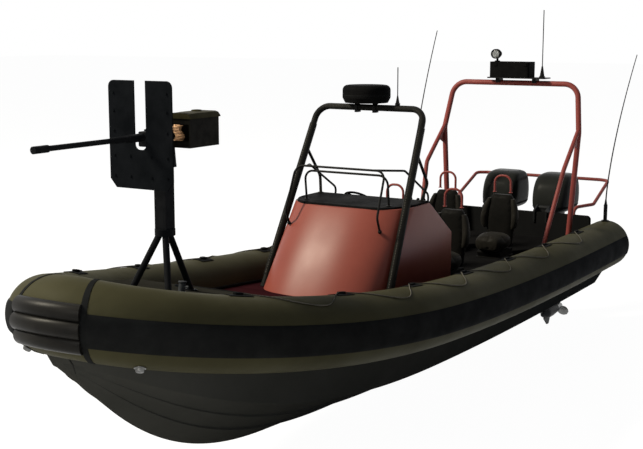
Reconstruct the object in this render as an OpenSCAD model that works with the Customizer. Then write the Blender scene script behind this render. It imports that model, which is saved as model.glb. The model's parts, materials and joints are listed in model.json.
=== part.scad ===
// Rigid-hull inflatable patrol boat with twin outboard motors, a helm console under a hoop,
// four bucket seats, a stern arch and a shielded gun on a tripod forward.
// Millimetres. +X is forward, +Y is to port, +Z is up, and the origin is on the waterline amidships.

/* [Buoyancy tube] */
// Diameter of the inflated tube
tube_d = 690; // [640:5:720]
// Half beam to the tube's outer wall
half_beam = 1745; // [1700:5:1800]
// Foremost point of the tube
bow_x = 5185; // [5100:5:5300]
// Aft end of the tube
tube_end_x = -5190; // [-5300:5:-5150]
// Where the parallel sides end and the bow curve begins
shoulder_x = 455; // [300:5:600]
// Fullness of the bow curve in plan
bow_fullness = 2.4; // [2.2:0.05:2.6]
// Height of the tube's centre at the stern
sheer_aft_z = 370; // [360:2:380]
// Rise of the tube's centre from stern to bow
sheer_rise = 800; // [760:5:840]
// Thickness of the rubbing strake
strake_t = 11; // [8:1:16]
// Height of a bow fender rib above the tube
fender_h = 42; // [25:1:60]
// Width of the seam strap beside the bow fender
strap_w = 58; // [40:2:80]
// Distance between grab line patches
patch_pitch = 1270; // [1200:10:1300]

/* [Hull] */
// Depth of the keel below the waterline
keel_z = -700; // [-740:5:-660]
// Height that the stem climbs from the keel
stem_rise = 1470; // [1420:5:1500]
// Where the keel starts to rise towards the stem
forefoot_x = 600; // [400:10:900]
// Width of a spray rail under the hull
spray_rail_w = 48; // [30:2:60]
// Width of the chine flat
chine_w = 60; // [40:2:80]
// Aft face of the transom
transom_x = -5000; // [-5050:5:-4980]
// Thickness of the transom board
transom_t = 70; // [50:2:90]
// Height of the transom's top edge
transom_top_z = 780; // [740:5:820]

/* [Deck] */
// Height of the aft cockpit sole
sole_z = 400; // [390:2:410]
// Thickness of the deck panels
deck_t = 30; // [20:1:40]
// Where the sole starts to ramp up towards the bow
ramp_x = -1200; // [-1230:5:-1150]
// Rise of the ramp for each millimetre forward
ramp_slope = 0.0844; // [0.08:0.0002:0.088]
// Aft face of the bow locker
locker_x = 2850; // [2750:10:2950]

/* [Console] */
// Clear width of the side deck between the console and the tube
walkway_w = 285; // [280:5:315]
// Height of the console's top
console_top_z = 1530; // [1480:5:1560]
// Front of the console at its top
console_front_x = 470; // [420:5:500]
// Aft lean of the console's front from upright, in degrees
console_lean = 36.5; // [33:0.5:38]
// Rear wall of the console
console_rear_x = -985; // [-1030:5:-940]
// Corner radius of the console's front
console_corner_r = 380; // [300:5:420]
// Thickness of the dash and top panel
dash_t = 22; // [14:1:30]
// Diameter of the helm wheel
helm_d = 380; // [320:5:420]
// Tube diameter of the console hoop
hoop_tube_d = 75; // [60:1:80]
// Height of the hoop's top bar
hoop_top_z = 2620; // [2550:5:2700]
// Tube diameter of the thin grab rails
grab_rail_d = 26; // [20:1:32]
// Diameter of the radar dome
radome_d = 570; // [500:5:620]

/* [Seats] */
// Distance of a seat from the centreline
seat_y = 425; // [410:5:450]
// Rear of the seat backs in the first row
seat_row_x = -1790; // [-1830:5:-1760]
// Distance between the two rows
seat_pitch = 1640; // [1560:5:1700]
// Width of a seat back at its bolsters
seat_w = 540; // [500:5:580]
// Height of the cushion's top
cushion_top_z = 735; // [700:5:770]
// Height of the seat back's top
seat_back_top_z = 1270; // [1220:5:1320]
// Tube diameter of the seat handles
seat_handle_d = 32; // [26:1:38]

/* [Stern arch and rail] */
// Tube diameter of the stern arch
arch_tube_d = 80; // [60:1:90]
// Height of the arch's top bar
arch_top_z = 2740; // [2650:5:2800]
// Tube diameter of the stern rail
rail_tube_d = 42; // [34:1:50]

/* [Outboard motors] */
// Distance of a motor from the centreline
motor_y = 420; // [405:5:440]
// Tilt axis behind the transom
tilt_back = 70; // [60:2:80]
// Tilt axis above the transom's top edge
tilt_up = 55; // [50:1:70]
// Steering axis behind the tilt axis
steer_back = 105; // [100:1:115]
// Radius of the tilt pin
tilt_pin_r = 18; // [14:1:22]
// Radius of the steering shaft
steer_shaft_r = 26; // [20:1:30]
// Width of the cowl
cowl_w = 580; // [540:5:600]
// Height of the cowl's top
cowl_top_z = 1310; // [1270:5:1340]
// Height of the propeller shaft
prop_z = -880; // [-900:5:-850]
// Diameter of the propeller
prop_d = 380; // [340:5:400]

/* [Gun mount] */
// Pedestal axis
gun_x = 3570; // [3520:5:3620]
// Height where the tripod's legs meet
tripod_head_z = 1715; // [1660:5:1760]
// Height of the elevation axis
trunnion_z = 2590; // [2560:5:2620]
// Length of the barrel from the elevation axis to the muzzle
barrel_reach = 1615; // [1500:5:1700]
// Diameter of the barrel
barrel_d = 46; // [40:1:52]
// Width of the shield
shield_w = 715; // [660:5:760]
// Height of the shield
shield_h = 960; // [900:5:1000]
// Width of the shield's slot
shield_slot_w = 130; // [120:2:150]
// Thickness of the shield
shield_t = 14; // [8:1:20]

/* [Hidden] */
$fn = 48;

// Clearances
fit_gap = 0.4;       // between pieces that seat on each other
patch_gap = 0.8;     // between the tube and a patch glued on it
seat_gap = 2.4;      // between the inflated tube and what is moulded round it
run_gap = 0.06;      // radial, round a pin that turns
side_gap = 6;        // between faces that move past each other

// Tube and sheer
tube_r = tube_d / 2;
path_a = bow_x - shoulder_x - tube_r;
path_b = half_beam - tube_r;
sheer_power = 2.95;
tube_step = 12;
seam_t = 9.8;
seam_gap_t = 0.02;
nose_steps = 3;
bow_steps = 14;
side_xs = [shoulder_x - 600, ramp_x, ramp_x - 1200, ramp_x - 2400];
end_taper = [[90, 1], [28, 0.965], [0, 0.86]];
strake_half = 24;
fender_half = 36;
strap_span = [-72, 108];
strap_t = 5;
patch_span = [84, 108];
patch_count = 7;
patch_first_x = -3850;

// Hull sections
hull_low_angle = -84;
chine_breadth = 0.857;
chine_height = 0.648;
spray_rails = [0.36, 0.68];
stem_lag = 60;
stem_power = 3.5;
seat_steps = 10;
locker_angle = 132;

// Console
console_half = path_b - tube_r - walkway_w;
dash_break_x = console_rear_x + 615;
dash_low_z = console_top_z - 430;

// Motors
tilt_x = transom_x - tilt_back;
tilt_z = transom_top_z + tilt_up;
steer_x = tilt_x - steer_back;
cowl_low_z = 745;
yoke_t = 34;
prop_shaft_r = 20;
prop_shaft_len = 150;

// Gun
gun_foot_x = [[gun_x + 230, 210], [gun_x + 230, -210], [gun_x - 370, 0]];

function unit(v) = v / norm(v);
function mix(a, b, f) = a + (b - a) * f;
function flip(p) = [p.x, -p.y, p.z];
function wrap(d) = d > 180 ? d - 360 : (d < -180 ? d + 360 : d);

// Polygon corners given as [x, y, radius] become points with true arcs
function corner_arc(a, p, b, k) =
    let (r = p[2], q = [p.x, p.y], u = unit([a.x, a.y] - q), w = unit([b.x, b.y] - q),
         half = acos(max(-1, min(1, u * w))) / 2, c = q + unit(u + w) * r / sin(half),
         s = q + u * r / tan(half), e = q + w * r / tan(half),
         a0 = atan2(s.y - c.y, s.x - c.x), d = wrap(atan2(e.y - c.y, e.x - c.x) - a0))
    [for (j = [0:k]) c + r * [cos(a0 + d * j / k), sin(a0 + d * j / k)]];
function rounded(v, k = 6) =
    [for (i = [0:len(v) - 1])
        let (a = v[(i + len(v) - 1) % len(v)], b = v[(i + 1) % len(v)])
        each (v[i][2] == 0 ? [[v[i].x, v[i].y]] : corner_arc(a, v[i], b, k))];
function round_box(x0, y0, x1, y1, r) = rounded([[x0, y0, r], [x1, y0, r], [x1, y1, r], [x0, y1, r]]);

// Plan curve of the tube's centre, from the nose at 0 degrees to the shoulder at 90
function plan_pt(t) = [shoulder_x + path_a * pow(cos(t), 2 / bow_fullness), path_b * sin(t)];
function plan_n(t) = unit([path_b * pow(cos(t), 2 - 2 / bow_fullness), path_a * 2 / bow_fullness * sin(t)]);
function sheer_z(x) =
    sheer_aft_z + sheer_rise * pow(max(0, (x - tube_end_x) / (bow_x - tube_end_x)), sheer_power);

// A station is [x, y, outward x, outward y, centre height]
function bow_station(t) =
    let (p = plan_pt(abs(t)), n = plan_n(abs(t)), s = t < 0 ? -1 : 1)
    [p.x, s * p.y, n.x, s * n.y, sheer_z(p.x + tube_r * n.x)];
function side_station(x) = [x, path_b, 0, 1, sheer_z(x)];
// Point on a station's ring: 0 degrees faces outboard, 90 is the top, 180 faces inboard
function ring_pt(s, a, r) = [s[0] + r * cos(a) * s[2], s[1] + r * cos(a) * s[3], s[4] + r * sin(a)];
function ring(s, r) = [for (a = [0:tube_step:359]) ring_pt(s, a, r)];

bow_ts = [for (i = [0:bow_steps]) seam_t + (90 - seam_t) * i / bow_steps];
nose_ts = [for (i = [0:nose_steps]) seam_t * i / nose_steps];
side_stations = concat([for (t = bow_ts) bow_station(t)], [for (x = side_xs) side_station(x)]);
tube_stations = concat(side_stations, [side_station(tube_end_x + end_taper[0][0])]);
// Station on the built tube at a length, between the two stations beside it
function station_at(x) =
    let (i = [for (k = [0:len(tube_stations) - 2])
             if (tube_stations[k][0] >= x && tube_stations[k + 1][0] < x) k][0],
         a = tube_stations[i], b = tube_stations[i + 1])
    mix(a, b, (x - a[0]) / (b[0] - a[0]));
strap_dt = strap_w / 2 / norm(ring_pt(bow_station(seam_t + 1), 0, tube_r) - ring_pt(bow_station(seam_t), 0,
                                                                                    tube_r));

// Height of the deck surface
function deck_z(x) = sole_z + ramp_slope * max(0, x - ramp_x);
// Angle on the inner wall of the tube at a height
function wall_angle(s, z, r) = -180 + asin((s[4] - z) / r);

// Closed skin over sections that each hold the same number of points. Faces are turned outward
// whichever way the sections run.
function six_volumes(p, faces) = [for (f = faces) cross(p[f[0]], p[f[1]]) * p[f[2]]] * [for (f = faces) 1];
// Triangles between the first k points of a ring and the rest, which run back along them
function strip(n, k, i = 0, j = 0) =
    let (m = n - k, on = j == m - 1 || (i < k - 1 && (i + 1) * (m - 1) <= (j + 1) * (k - 1)))
    i == k - 1 && j == m - 1 ? []
        : concat([on ? [i, i + 1, n - 1 - j] : [i, n - 2 - j, n - 1 - j]],
                 strip(n, k, on ? i + 1 : i, on ? j : j + 1));
// Triangles from one point of a ring to all others
function fan(n, hub) = [for (k = [1:n - 2]) [hub, (hub + k) % n, (hub + k + 1) % n]];
function turned(faces) = [for (f = faces) [f[0], f[2], f[1]]];
// Ends are fans from the point hub, or strips where the first points of a section, inner in number, run
// along the rest
module loft(sections, open_start = false, hub = 0, inner = 0) {
    n = len(sections[0]);
    m = len(sections);
    points = [for (s = sections) each s];
    sides = [for (i = [0:m - 2]) for (j = [0:n - 1])
        let (a = i * n + j, b = i * n + (j + 1) % n)
        each [[a, b, b + n], [a, b + n, a + n]]];
    end = inner > 0 ? strip(n, inner) : fan(n, hub);
    faces = concat(sides, open_start ? [] : turned(end), [for (f = end) f + (m - 1) * n * [1, 1, 1]]);
    inward = six_volumes(points, faces) > 0;
    polyhedron(points, inward ? turned(faces) : faces);
}

// Both sides of a half section that starts and ends on the centreline
function both_sides(half) = concat(half, [for (i = [len(half) - 2:-1:1]) flip(half[i])]);

// Rigid frame whose Z axis runs from a to b
module along(a, b) {
    ez = unit(b - a);
    ex = unit(cross(abs(ez.z) > 0.9 ? [1, 0, 0] : [0, 0, 1], ez));
    ey = cross(ez, ex);
    multmatrix([[ex.x, ey.x, ez.x, a.x], [ex.y, ey.y, ez.y, a.y], [ex.z, ey.z, ez.z, a.z], [0, 0, 0, 1]])
        children();
}
module rod(a, b, d) { along(a, b) cylinder(d = d, h = norm(b - a)); }

// Bent tube through points, with one bend radius: the route is straights and arcs, and one ring of
// points is carried along it without twist
tube_sides = 12;
function bend(a, p, b, r, k) =
    let (u = unit(p - a), w = unit(b - p), turn = acos(max(-1, min(1, u * w))), s = p - u * r * tan(turn / 2),
         c = p + unit(w - u) * r / cos(turn / 2), ex = unit(s - c))
    [for (j = [0:k]) c + r * (ex * cos(turn * j / k) + u * sin(turn * j / k))];
function bent_route(v, r, k) =
    concat([v[0]], [for (i = [1:1:len(v) - 2]) each bend(v[i - 1], v[i], v[i + 1], r, k)], [v[len(v) - 1]]);
function route_dir(v, i) = unit(unit(v[min(len(v) - 1, i + 1)] - v[max(0, min(i, len(v) - 2))])
                                + unit(v[max(1, i)] - v[max(0, i - 1)]));
function square_to(e, u) = unit(e - u * (e * u));
module swept(v, diameters, sides = tube_sides) {
    u0 = route_dir(v, 0);
    e0 = square_to(abs(u0.z) > 0.9 ? [1, 0, 0] : [0, 0, 1], u0);
    side_dirs = [for (i = 0, e = e0; i < len(v); i = i + 1,
                      e = i < len(v) ? square_to(e, route_dir(v, i)) : e) e];
    loft([for (i = [0:len(v) - 1])
        let (u = route_dir(v, i), e = side_dirs[i], g = cross(u, e),
             d = is_list(diameters) ? diameters[i] : diameters)
        [for (k = [0:sides - 1]) v[i] + d / 2 * (e * cos(k * 360 / sides) + g * sin(k * 360 / sides))]]);
}
module bent_tube(v, d, r, k = 5, sides = tube_sides) { swept(bent_route(v, r, k), d, sides); }
// Rigid frame on the tube's skin at a station, X along the tube from b to a and Z outward
module on_tube(s, a, b, angle, lift) {
    ex = unit(ring_pt(a, angle, tube_r) - ring_pt(b, angle, tube_r));
    ez = square_to(ring_pt(s, angle, 1) - ring_pt(s, angle, 0), ex);
    ey = cross(ez, ex);
    o = ring_pt(s, angle, tube_r) + ez * lift;
    multmatrix([[ex.x, ey.x, ez.x, o.x], [ex.y, ey.y, ez.y, o.y], [ex.z, ey.z, ez.z, o.z], [0, 0, 0, 1]])
        children();
}
module mirror_pair() {
    children();
    mirror([0, 1, 0]) children();
}
// Profile in X and Z, spread across Y
module across(pts, y0, y1) { translate([0, y1, 0]) rotate([90, 0, 0]) linear_extrude(y1 - y0) polygon(pts); }
// Profile in Y and Z, spread along X
module lengthwise(pts, x0, x1) {
    translate([x0, 0, 0]) rotate([90, 0, 90]) linear_extrude(x1 - x0) polygon(pts);
}
// Foot flange that lies on the deck's ramp
module deck_foot(x, y, d, t) {
    translate([x, y, deck_z(x) + fit_gap]) rotate([0, x > ramp_x ? -atan(ramp_slope) : 0, 0])
        cylinder(d = d, h = t);
}

// Hull and deck

function keel_pt(x) =
    [x, 0, keel_z + stem_rise * pow(max(0, (x - forefoot_x) / (bow_x - 275 - forefoot_x)), stem_power)];
function hull_top(s) = deck_z(s[0] - tube_r * s[2]) - deck_t;
// Radius of a moulded seat round the tube whose chords keep the gap
function seat_r(a0, a1) = (tube_r + seat_gap) / cos((a1 - a0) / (2 * seat_steps));
function hull_half(s) =
    let (z = hull_top(s), a_end = wall_angle(s, z, tube_r + seat_gap), r = seat_r(hull_low_angle, a_end),
         k = keel_pt(s[0] - stem_lag * s[2]), low = ring_pt(s, hull_low_angle, r),
         c = [mix(k.x, low.x, 0.5), chine_breadth * low.y, mix(k.z, low.z, chine_height)],
         fade = 1 - s[2], edge = ring_pt(s, a_end, r))
    concat([k],
        [for (f = spray_rails) let (a = mix(k, c, f), w = spray_rail_w * fade, g = c.y > 0 ? w / c.y : 0)
            each [a, a + [0, w, 0], mix(k, c, f + g)]],
        [c, c + [0, chine_w * fade, 0]],
        [for (i = [0:seat_steps]) ring_pt(s, mix(hull_low_angle, a_end, i / seat_steps), r)],
        [[edge.x, 0, z]]);
hull_stations = concat([for (i = [0:nose_steps - 1]) bow_station(nose_ts[i])], side_stations,
                       [side_station(transom_x)]);
module hull() {
    color("lightslategray")
        loft([for (s = hull_stations) both_sides(hull_half(s))], open_start = true,
             hub = len(hull_half(hull_stations[0])) - 1);
}

deck_plan_side = [for (s = concat(side_stations, [side_station(transom_x)]))
    [s[0] - (tube_r + fit_gap * 2) * s[2], s[1] - (tube_r + fit_gap * 2) * s[3]]];
module deck_panel(x0, x1) {
    intersection() {
        across([[x0, deck_z(x0) - deck_t + fit_gap], [x1, deck_z(x1) - deck_t + fit_gap], [x1, deck_z(x1)],
                [x0, deck_z(x0)]], -half_beam, half_beam);
        linear_extrude(2 * sole_z + ramp_slope * bow_x)
            polygon(concat(deck_plan_side, [for (i = [len(deck_plan_side) - 1:-1:0])
                [deck_plan_side[i].x, -deck_plan_side[i].y]]));
    }
}
module aft_sole() { color([0.16, 0.16, 0.17]) deck_panel(transom_x + transom_t + fit_gap, ramp_x); }
module fore_sole() { color("firebrick") deck_panel(ramp_x + fit_gap, locker_x - fit_gap); }

function locker_low_angle(s) = wall_angle(s, hull_top(s) + fit_gap, tube_r + seat_gap) + 360;
function locker_top(s) = ring_pt(s, locker_angle, seat_r(locker_low_angle(s), locker_angle));
function locker_half(s) =
    let (z = hull_top(s) + fit_gap, a0 = locker_low_angle(s), r = seat_r(a0, locker_angle),
         edge = ring_pt(s, a0, r), top = locker_top(s))
    concat([[edge.x, 0, z]],
        [for (i = [0:seat_steps]) ring_pt(s, mix(a0, locker_angle, i / seat_steps), r)],
        [[top.x, 0, top.z]]);
locker_stations = [for (s = hull_stations) if (s[0] > locker_x - 700) s];
locker_line = [for (i = [len(locker_stations) - 1:-1:0]) let (p = locker_top(locker_stations[i])) [p.x, p.z]];
function locker_z(x) = lookup(x, locker_line);
module bow_locker() {
    color("dimgray") difference() {
        loft([for (s = locker_stations) both_sides(locker_half(s))], open_start = true);
        translate([locker_x - 2000, -half_beam, 0]) cube([2000, 2 * half_beam, bow_x]);
    }
}

// Mooring bitt on the locker between the tripod's legs
bitt_x = gun_x - 5;
bitt_y = 170;
bitt_d = 64;
bitt_h = 114;
module bow_bitt() {
    flange_d = 110;
    pin_l = 150;
    za = locker_z(bitt_x - flange_d / 2);
    zb = locker_z(bitt_x + flange_d / 2);
    color("lightsteelblue")
        translate([bitt_x, bitt_y, max(locker_z(bitt_x), (za + zb) / 2) + fit_gap])
            rotate([0, -atan((zb - za) / flange_d), 0]) {
                cylinder(d = flange_d, h = 10);
                rotate_extrude()
                    polygon(rounded([[0, 0, 0], [bitt_d / 2, 0, 0], [bitt_d / 2, bitt_h - 26, 0],
                                     [bitt_d / 2 + 8, bitt_h - 18, 6], [bitt_d / 2 + 8, bitt_h - 4, 6],
                                     [0, bitt_h, 0]]));
                translate([0, -pin_l / 2, bitt_h * 0.55]) rotate([-90, 0, 0]) cylinder(d = 22, h = pin_l);
            }
}

transom_half = half_beam - tube_r * 1.6;
module transom() {
    low_z = sole_z - deck_t + fit_gap;
    color("dimgray") difference() {
        lengthwise(rounded([[-transom_half, low_z, 0], [transom_half, low_z, 0],
                            [transom_half, transom_top_z, 60],
                            [-transom_half, transom_top_z, 60]]), transom_x, transom_x + transom_t);
        for (s = [-1, 1]) translate([transom_x - 10, s * path_b, sheer_z(transom_x + transom_t)])
            rotate([0, 90, 0]) cylinder(r = tube_r + fit_gap, h = transom_t + 20);
    }
}

// Inflated tubes and what is glued to them

module tube_side() {
    loft(concat([for (s = side_stations) ring(s, tube_r)],
                [for (e = end_taper) ring(side_station(tube_end_x + e[0]), tube_r * e[1])]));
}
module tube_port() { color("darkolivegreen") tube_side(); }
module tube_starboard() { color("darkolivegreen") mirror([0, 1, 0]) tube_side(); }
module tube_bow() {
    half = [for (i = [0:nose_steps]) i == nose_steps ? nose_ts[i] - seam_gap_t : nose_ts[i]];
    ts = concat([for (i = [nose_steps:-1:1]) -half[i]], half);
    color("darkolivegreen") loft([for (t = ts) ring(bow_station(t), tube_r)]);
}

// Band on the tube between two angles: inner points follow the tube's own facets
function band(s, a0, a1, lift, steps, gap = fit_gap) =
    concat([for (a = [a0:tube_step:a1]) ring_pt(s, a, tube_r + gap)],
           [for (i = [steps:-1:0]) ring_pt(s, mix(a0, a1, i / steps), tube_r + gap + lift[i])]);
strake_lift = [strake_t * 0.5, strake_t, strake_t, strake_t, strake_t, strake_t * 0.5];
module rub_strakes() {
    stations = concat([bow_station(seam_t + strap_dt * 1.1)],
                      [for (i = [1:bow_steps]) bow_station(bow_ts[i])],
                      [for (x = side_xs) side_station(x)], [side_station(tube_end_x + end_taper[0][0])]);
    color([0.06, 0.06, 0.07]) mirror_pair()
        loft([for (s = stations) band(s, -strake_half, strake_half, strake_lift, 5)],
             inner = 2 * strake_half / tube_step + 1);
}
fender_steps = 18;
fender_lift = [for (i = [0:fender_steps])
    let (a = mix(-fender_half, fender_half, i / fender_steps))
    8 + fender_h * pow(abs(cos(a * 180 / (fender_half * 2 / 3))), 0.7)];
module bow_fender() {
    last = seam_t - strap_dt * 1.1;
    ts = [for (i = [-nose_steps:nose_steps])
          abs(i) == nose_steps ? sign(i) * last : sign(i) * nose_ts[abs(i)]];
    color([0.08, 0.08, 0.08])
        loft([for (t = ts) band(bow_station(t), -fender_half, fender_half, fender_lift, fender_steps)],
             inner = 2 * fender_half / tube_step + 1);
}
module seam_straps() {
    steps = (strap_span[1] - strap_span[0]) / tube_step;
    lift = [for (i = [0:steps]) strap_t];
    color([0.05, 0.05, 0.05]) mirror_pair()
        loft([for (d = [-1, 0, 1]) band(bow_station(seam_t + d * strap_dt), strap_span[0], strap_span[1],
                                        lift, steps)],
             inner = steps + 1);
}
patch_len = 230;
patch_t = 7;
boss_foot = patch_t - 4;
boss_h = 24;
rope_d = 12;
rope_rise = 17;
rope_grip = 60;
patch_mid = (patch_span[0] + patch_span[1]) / 2;
module grab_line_patches() {
    color([0.07, 0.07, 0.07]) mirror_pair() for (i = [0:patch_count - 1]) {
        x = patch_first_x + patch_pitch * i;
        s = station_at(x);
        loft([for (d = [-0.5, 0, 0.5]) band(station_at(x + d * patch_len), patch_span[0], patch_span[1],
                                            [patch_t, patch_t, patch_t], 2, patch_gap)], inner = 3);
        on_tube(s, station_at(x + patch_len), station_at(x - patch_len), patch_mid, boss_foot)
            difference() {
                linear_extrude(boss_h) polygon(round_box(-48, -26, 48, 26, 22));
                translate([-patch_len / 2, 0, rope_rise - boss_foot]) rotate([0, 90, 0])
                    cylinder(d = rope_d + 2 * fit_gap, h = patch_len);
            }
    }
}

// Grab line: runs through the patches' bosses and hangs in bights on the tube between them
function rope_hold(x, along) =
    let (a = ring_pt(station_at(x + patch_len), patch_mid, tube_r), s = station_at(x),
         b = ring_pt(station_at(x - patch_len), patch_mid, tube_r), ex = unit(a - b),
         ez = square_to(ring_pt(s, patch_mid, 1) - ring_pt(s, patch_mid, 0), ex))
    ring_pt(s, patch_mid, tube_r) + ez * rope_rise + ex * along;
// Rows: share of the span, swing down the tube, height of the line's middle over it
rope_bight = [[0.14, 8, 17], [0.38, 30, 17], [0.66, 39, 15], [0.88, 14, 19]];
rope_route = [for (i = [patch_count - 1:-1:0])
    let (x = patch_first_x + patch_pitch * i, x0 = x - rope_grip, x1 = x - patch_pitch + rope_grip)
    each concat([rope_hold(x, i < patch_count - 1 ? rope_grip : 0), rope_hold(x, i > 0 ? -rope_grip : 0)],
                [for (r = i > 0 ? rope_bight : [])
                    ring_pt(station_at(mix(x0, x1, r[0])), patch_mid - r[1], tube_r + r[2])])];
module grab_line() { swept(rope_route, rope_d, 8); }
module grab_line_port() { color("tan") grab_line(); }
module grab_line_starboard() { color("tan") mirror([0, 1, 0]) grab_line(); }

// Eye plate with a bored lug, standing off the plane X = 0 along +X
eye_bore_r = 16;
eye_t = 22;
eye_base_t = 14;
module eye_plate() {
    translate([-eye_base_t, 0, 0]) rotate([0, 90, 0]) linear_extrude(eye_base_t)
        polygon(round_box(-70, -40, 70, 40, 30));
    rotate([90, 0, 0]) translate([0, 0, -eye_t / 2]) linear_extrude(eye_t) difference() {
        polygon(rounded([[-1, -45, 0], [60, -38, 36], [60, 38, 36], [-1, 45, 0]]));
        translate([32, 0]) circle(r = eye_bore_r);
    }
}
stern_eye_y = path_b - 520;
stern_eye_z = 150;
bow_stud_at = 2;
bow_stud_angle = -60;
module bow_stud() {
    rotate_extrude() polygon(rounded([[0, 0, 0], [52, 0, 0], [52, 6, 0], [40, 12, 0], [34, 38, 14],
                                      [0, 44, 0]]));
}
module towing_eyes() {
    color("silver") mirror_pair() {
        translate([transom_x - fit_gap - eye_base_t, stern_eye_y, stern_eye_z])
            mirror([1, 0, 0]) rotate([90, 0, 0]) eye_plate();
        on_tube(side_stations[bow_stud_at], side_stations[bow_stud_at - 1], side_stations[bow_stud_at + 1],
                bow_stud_angle, fit_gap) bow_stud();
    }
}

// Console

module console_front_prism(inset = 0) {
    translate([console_front_x, 0, console_top_z]) rotate([0, -console_lean, 0])
        translate([0, 0, -1800]) linear_extrude(3600)
            polygon(rounded([[-inset, -console_half + inset, console_corner_r],
                             [-inset, console_half - inset, console_corner_r],
                             [-4000, console_half - inset, 0], [-4000, -console_half + inset, 0]], 10));
}
function console_floor(x) = deck_z(x) + fit_gap;
module console() {
    far = console_front_x + 900;
    color("firebrick") intersection() {
        across(rounded([[console_rear_x, console_floor(console_rear_x), 0], [far, console_floor(far), 0],
                        [far, console_top_z, 0], [dash_break_x, console_top_z, 40],
                        [console_rear_x, dash_low_z, 40]]), -console_half, console_half);
        console_front_prism();
    }
}
dash_dir = unit([console_rear_x - dash_break_x, dash_low_z - console_top_z]);
dash_n = [dash_dir.y, -dash_dir.x];
helm_y = -seat_y;
helm_on_dash = 0.52;
helm_lift = 135;
helm_hub_r = 34;
helm_foot = mix([dash_break_x, console_top_z], [console_rear_x, dash_low_z],
                helm_on_dash) + dash_n * (dash_t + fit_gap);
dash_tilt = atan2(dash_n.x, dash_n.y);
module on_dash(y, lift) {
    translate([helm_foot.x, y, helm_foot.y]) rotate([0, dash_tilt, 0]) translate([0, 0, lift]) children();
}
helm_boss_h = helm_lift - 60 - side_gap;
helm_shaft_r = 14;
helm_shaft_len = 46;
module console_dash() {
    lip = 20;
    run = 640;
    mitre = tan(dash_tilt / 2);
    under = fit_gap;
    over = fit_gap + dash_t;
    turn = [dash_break_x, console_top_z];
    color([0.07, 0.07, 0.07]) difference() {
        union() {
            intersection() {
                across([[console_front_x + 100, console_top_z + under],
                        [console_front_x + 100, console_top_z + over],
                        turn + [mitre * over, over], turn + dash_dir * run + dash_n * over,
                        turn + dash_dir * run + dash_n * under, turn + [mitre * under, under]],
                       -console_half + lip, console_half - lip);
                console_front_prism(lip);
            }
            on_dash(helm_y, -fit_gap) cylinder(r = helm_hub_r, h = helm_boss_h + fit_gap);
        }
        on_dash(helm_y, helm_boss_h - helm_shaft_len)
            cylinder(r = helm_shaft_r + run_gap, h = helm_shaft_len + 1);
    }
}
module helm_wheel() {
    spokes = 3;
    color([0.1, 0.1, 0.1]) on_dash(helm_y, helm_boss_h + side_gap) {
        translate([0, 0, -helm_shaft_len]) cylinder(r = helm_shaft_r, h = helm_shaft_len + 1);
        cylinder(r = helm_hub_r, h = 75);
        translate([0, 0, 60]) rotate_extrude() translate([helm_d / 2 - 14, 0]) circle(r = 14);
        for (i = [0:spokes - 1]) rotate([0, 0, 90 + i * 360 / spokes])
            translate([helm_hub_r - 4, -11, 52]) cube([helm_d / 2 - 14 - helm_hub_r + 4, 22, 14]);
    }
}

hoop_foot = [console_front_x + 280, console_half + 52];
hoop_head = [dash_break_x + 60, console_half - 55];
hoop_bend = 170;
hoop_left = [hoop_foot.x, hoop_foot.y, deck_z(hoop_foot.x) + 18];
hoop_corner = [hoop_head.x, hoop_head.y, hoop_top_z];
brace_d = 36;
brace_head = mix(hoop_left, hoop_corner, 0.765);
brace_foot = [dash_break_x + 60, console_half - 80, console_top_z + dash_t + 2 * fit_gap];
module console_hoop() {
    color([0.08, 0.08, 0.08]) {
        bent_tube([hoop_left, hoop_corner, flip(hoop_corner), flip(hoop_left)], hoop_tube_d, hoop_bend);
        mirror_pair() {
            deck_foot(hoop_foot.x, hoop_foot.y, hoop_tube_d + 20, 20);
            bent_tube([brace_head, [brace_foot.x - 60, console_half - 35,
                                    mix(brace_foot.z, brace_head.z, 0.35)],
                       brace_foot + [0, 0, 6]], brace_d, 90, 4, 10);
            translate(brace_foot) cylinder(d = brace_d * 2, h = 10);
        }
    }
}

// Thin rails round the console's top: the outer one lands on the front with ball ends and runs aft to
// the dash slope, the inner one stands on the top panel
rail_ball_r = 23;
rail_turn = 31.8;
rail_bend = 110;
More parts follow.
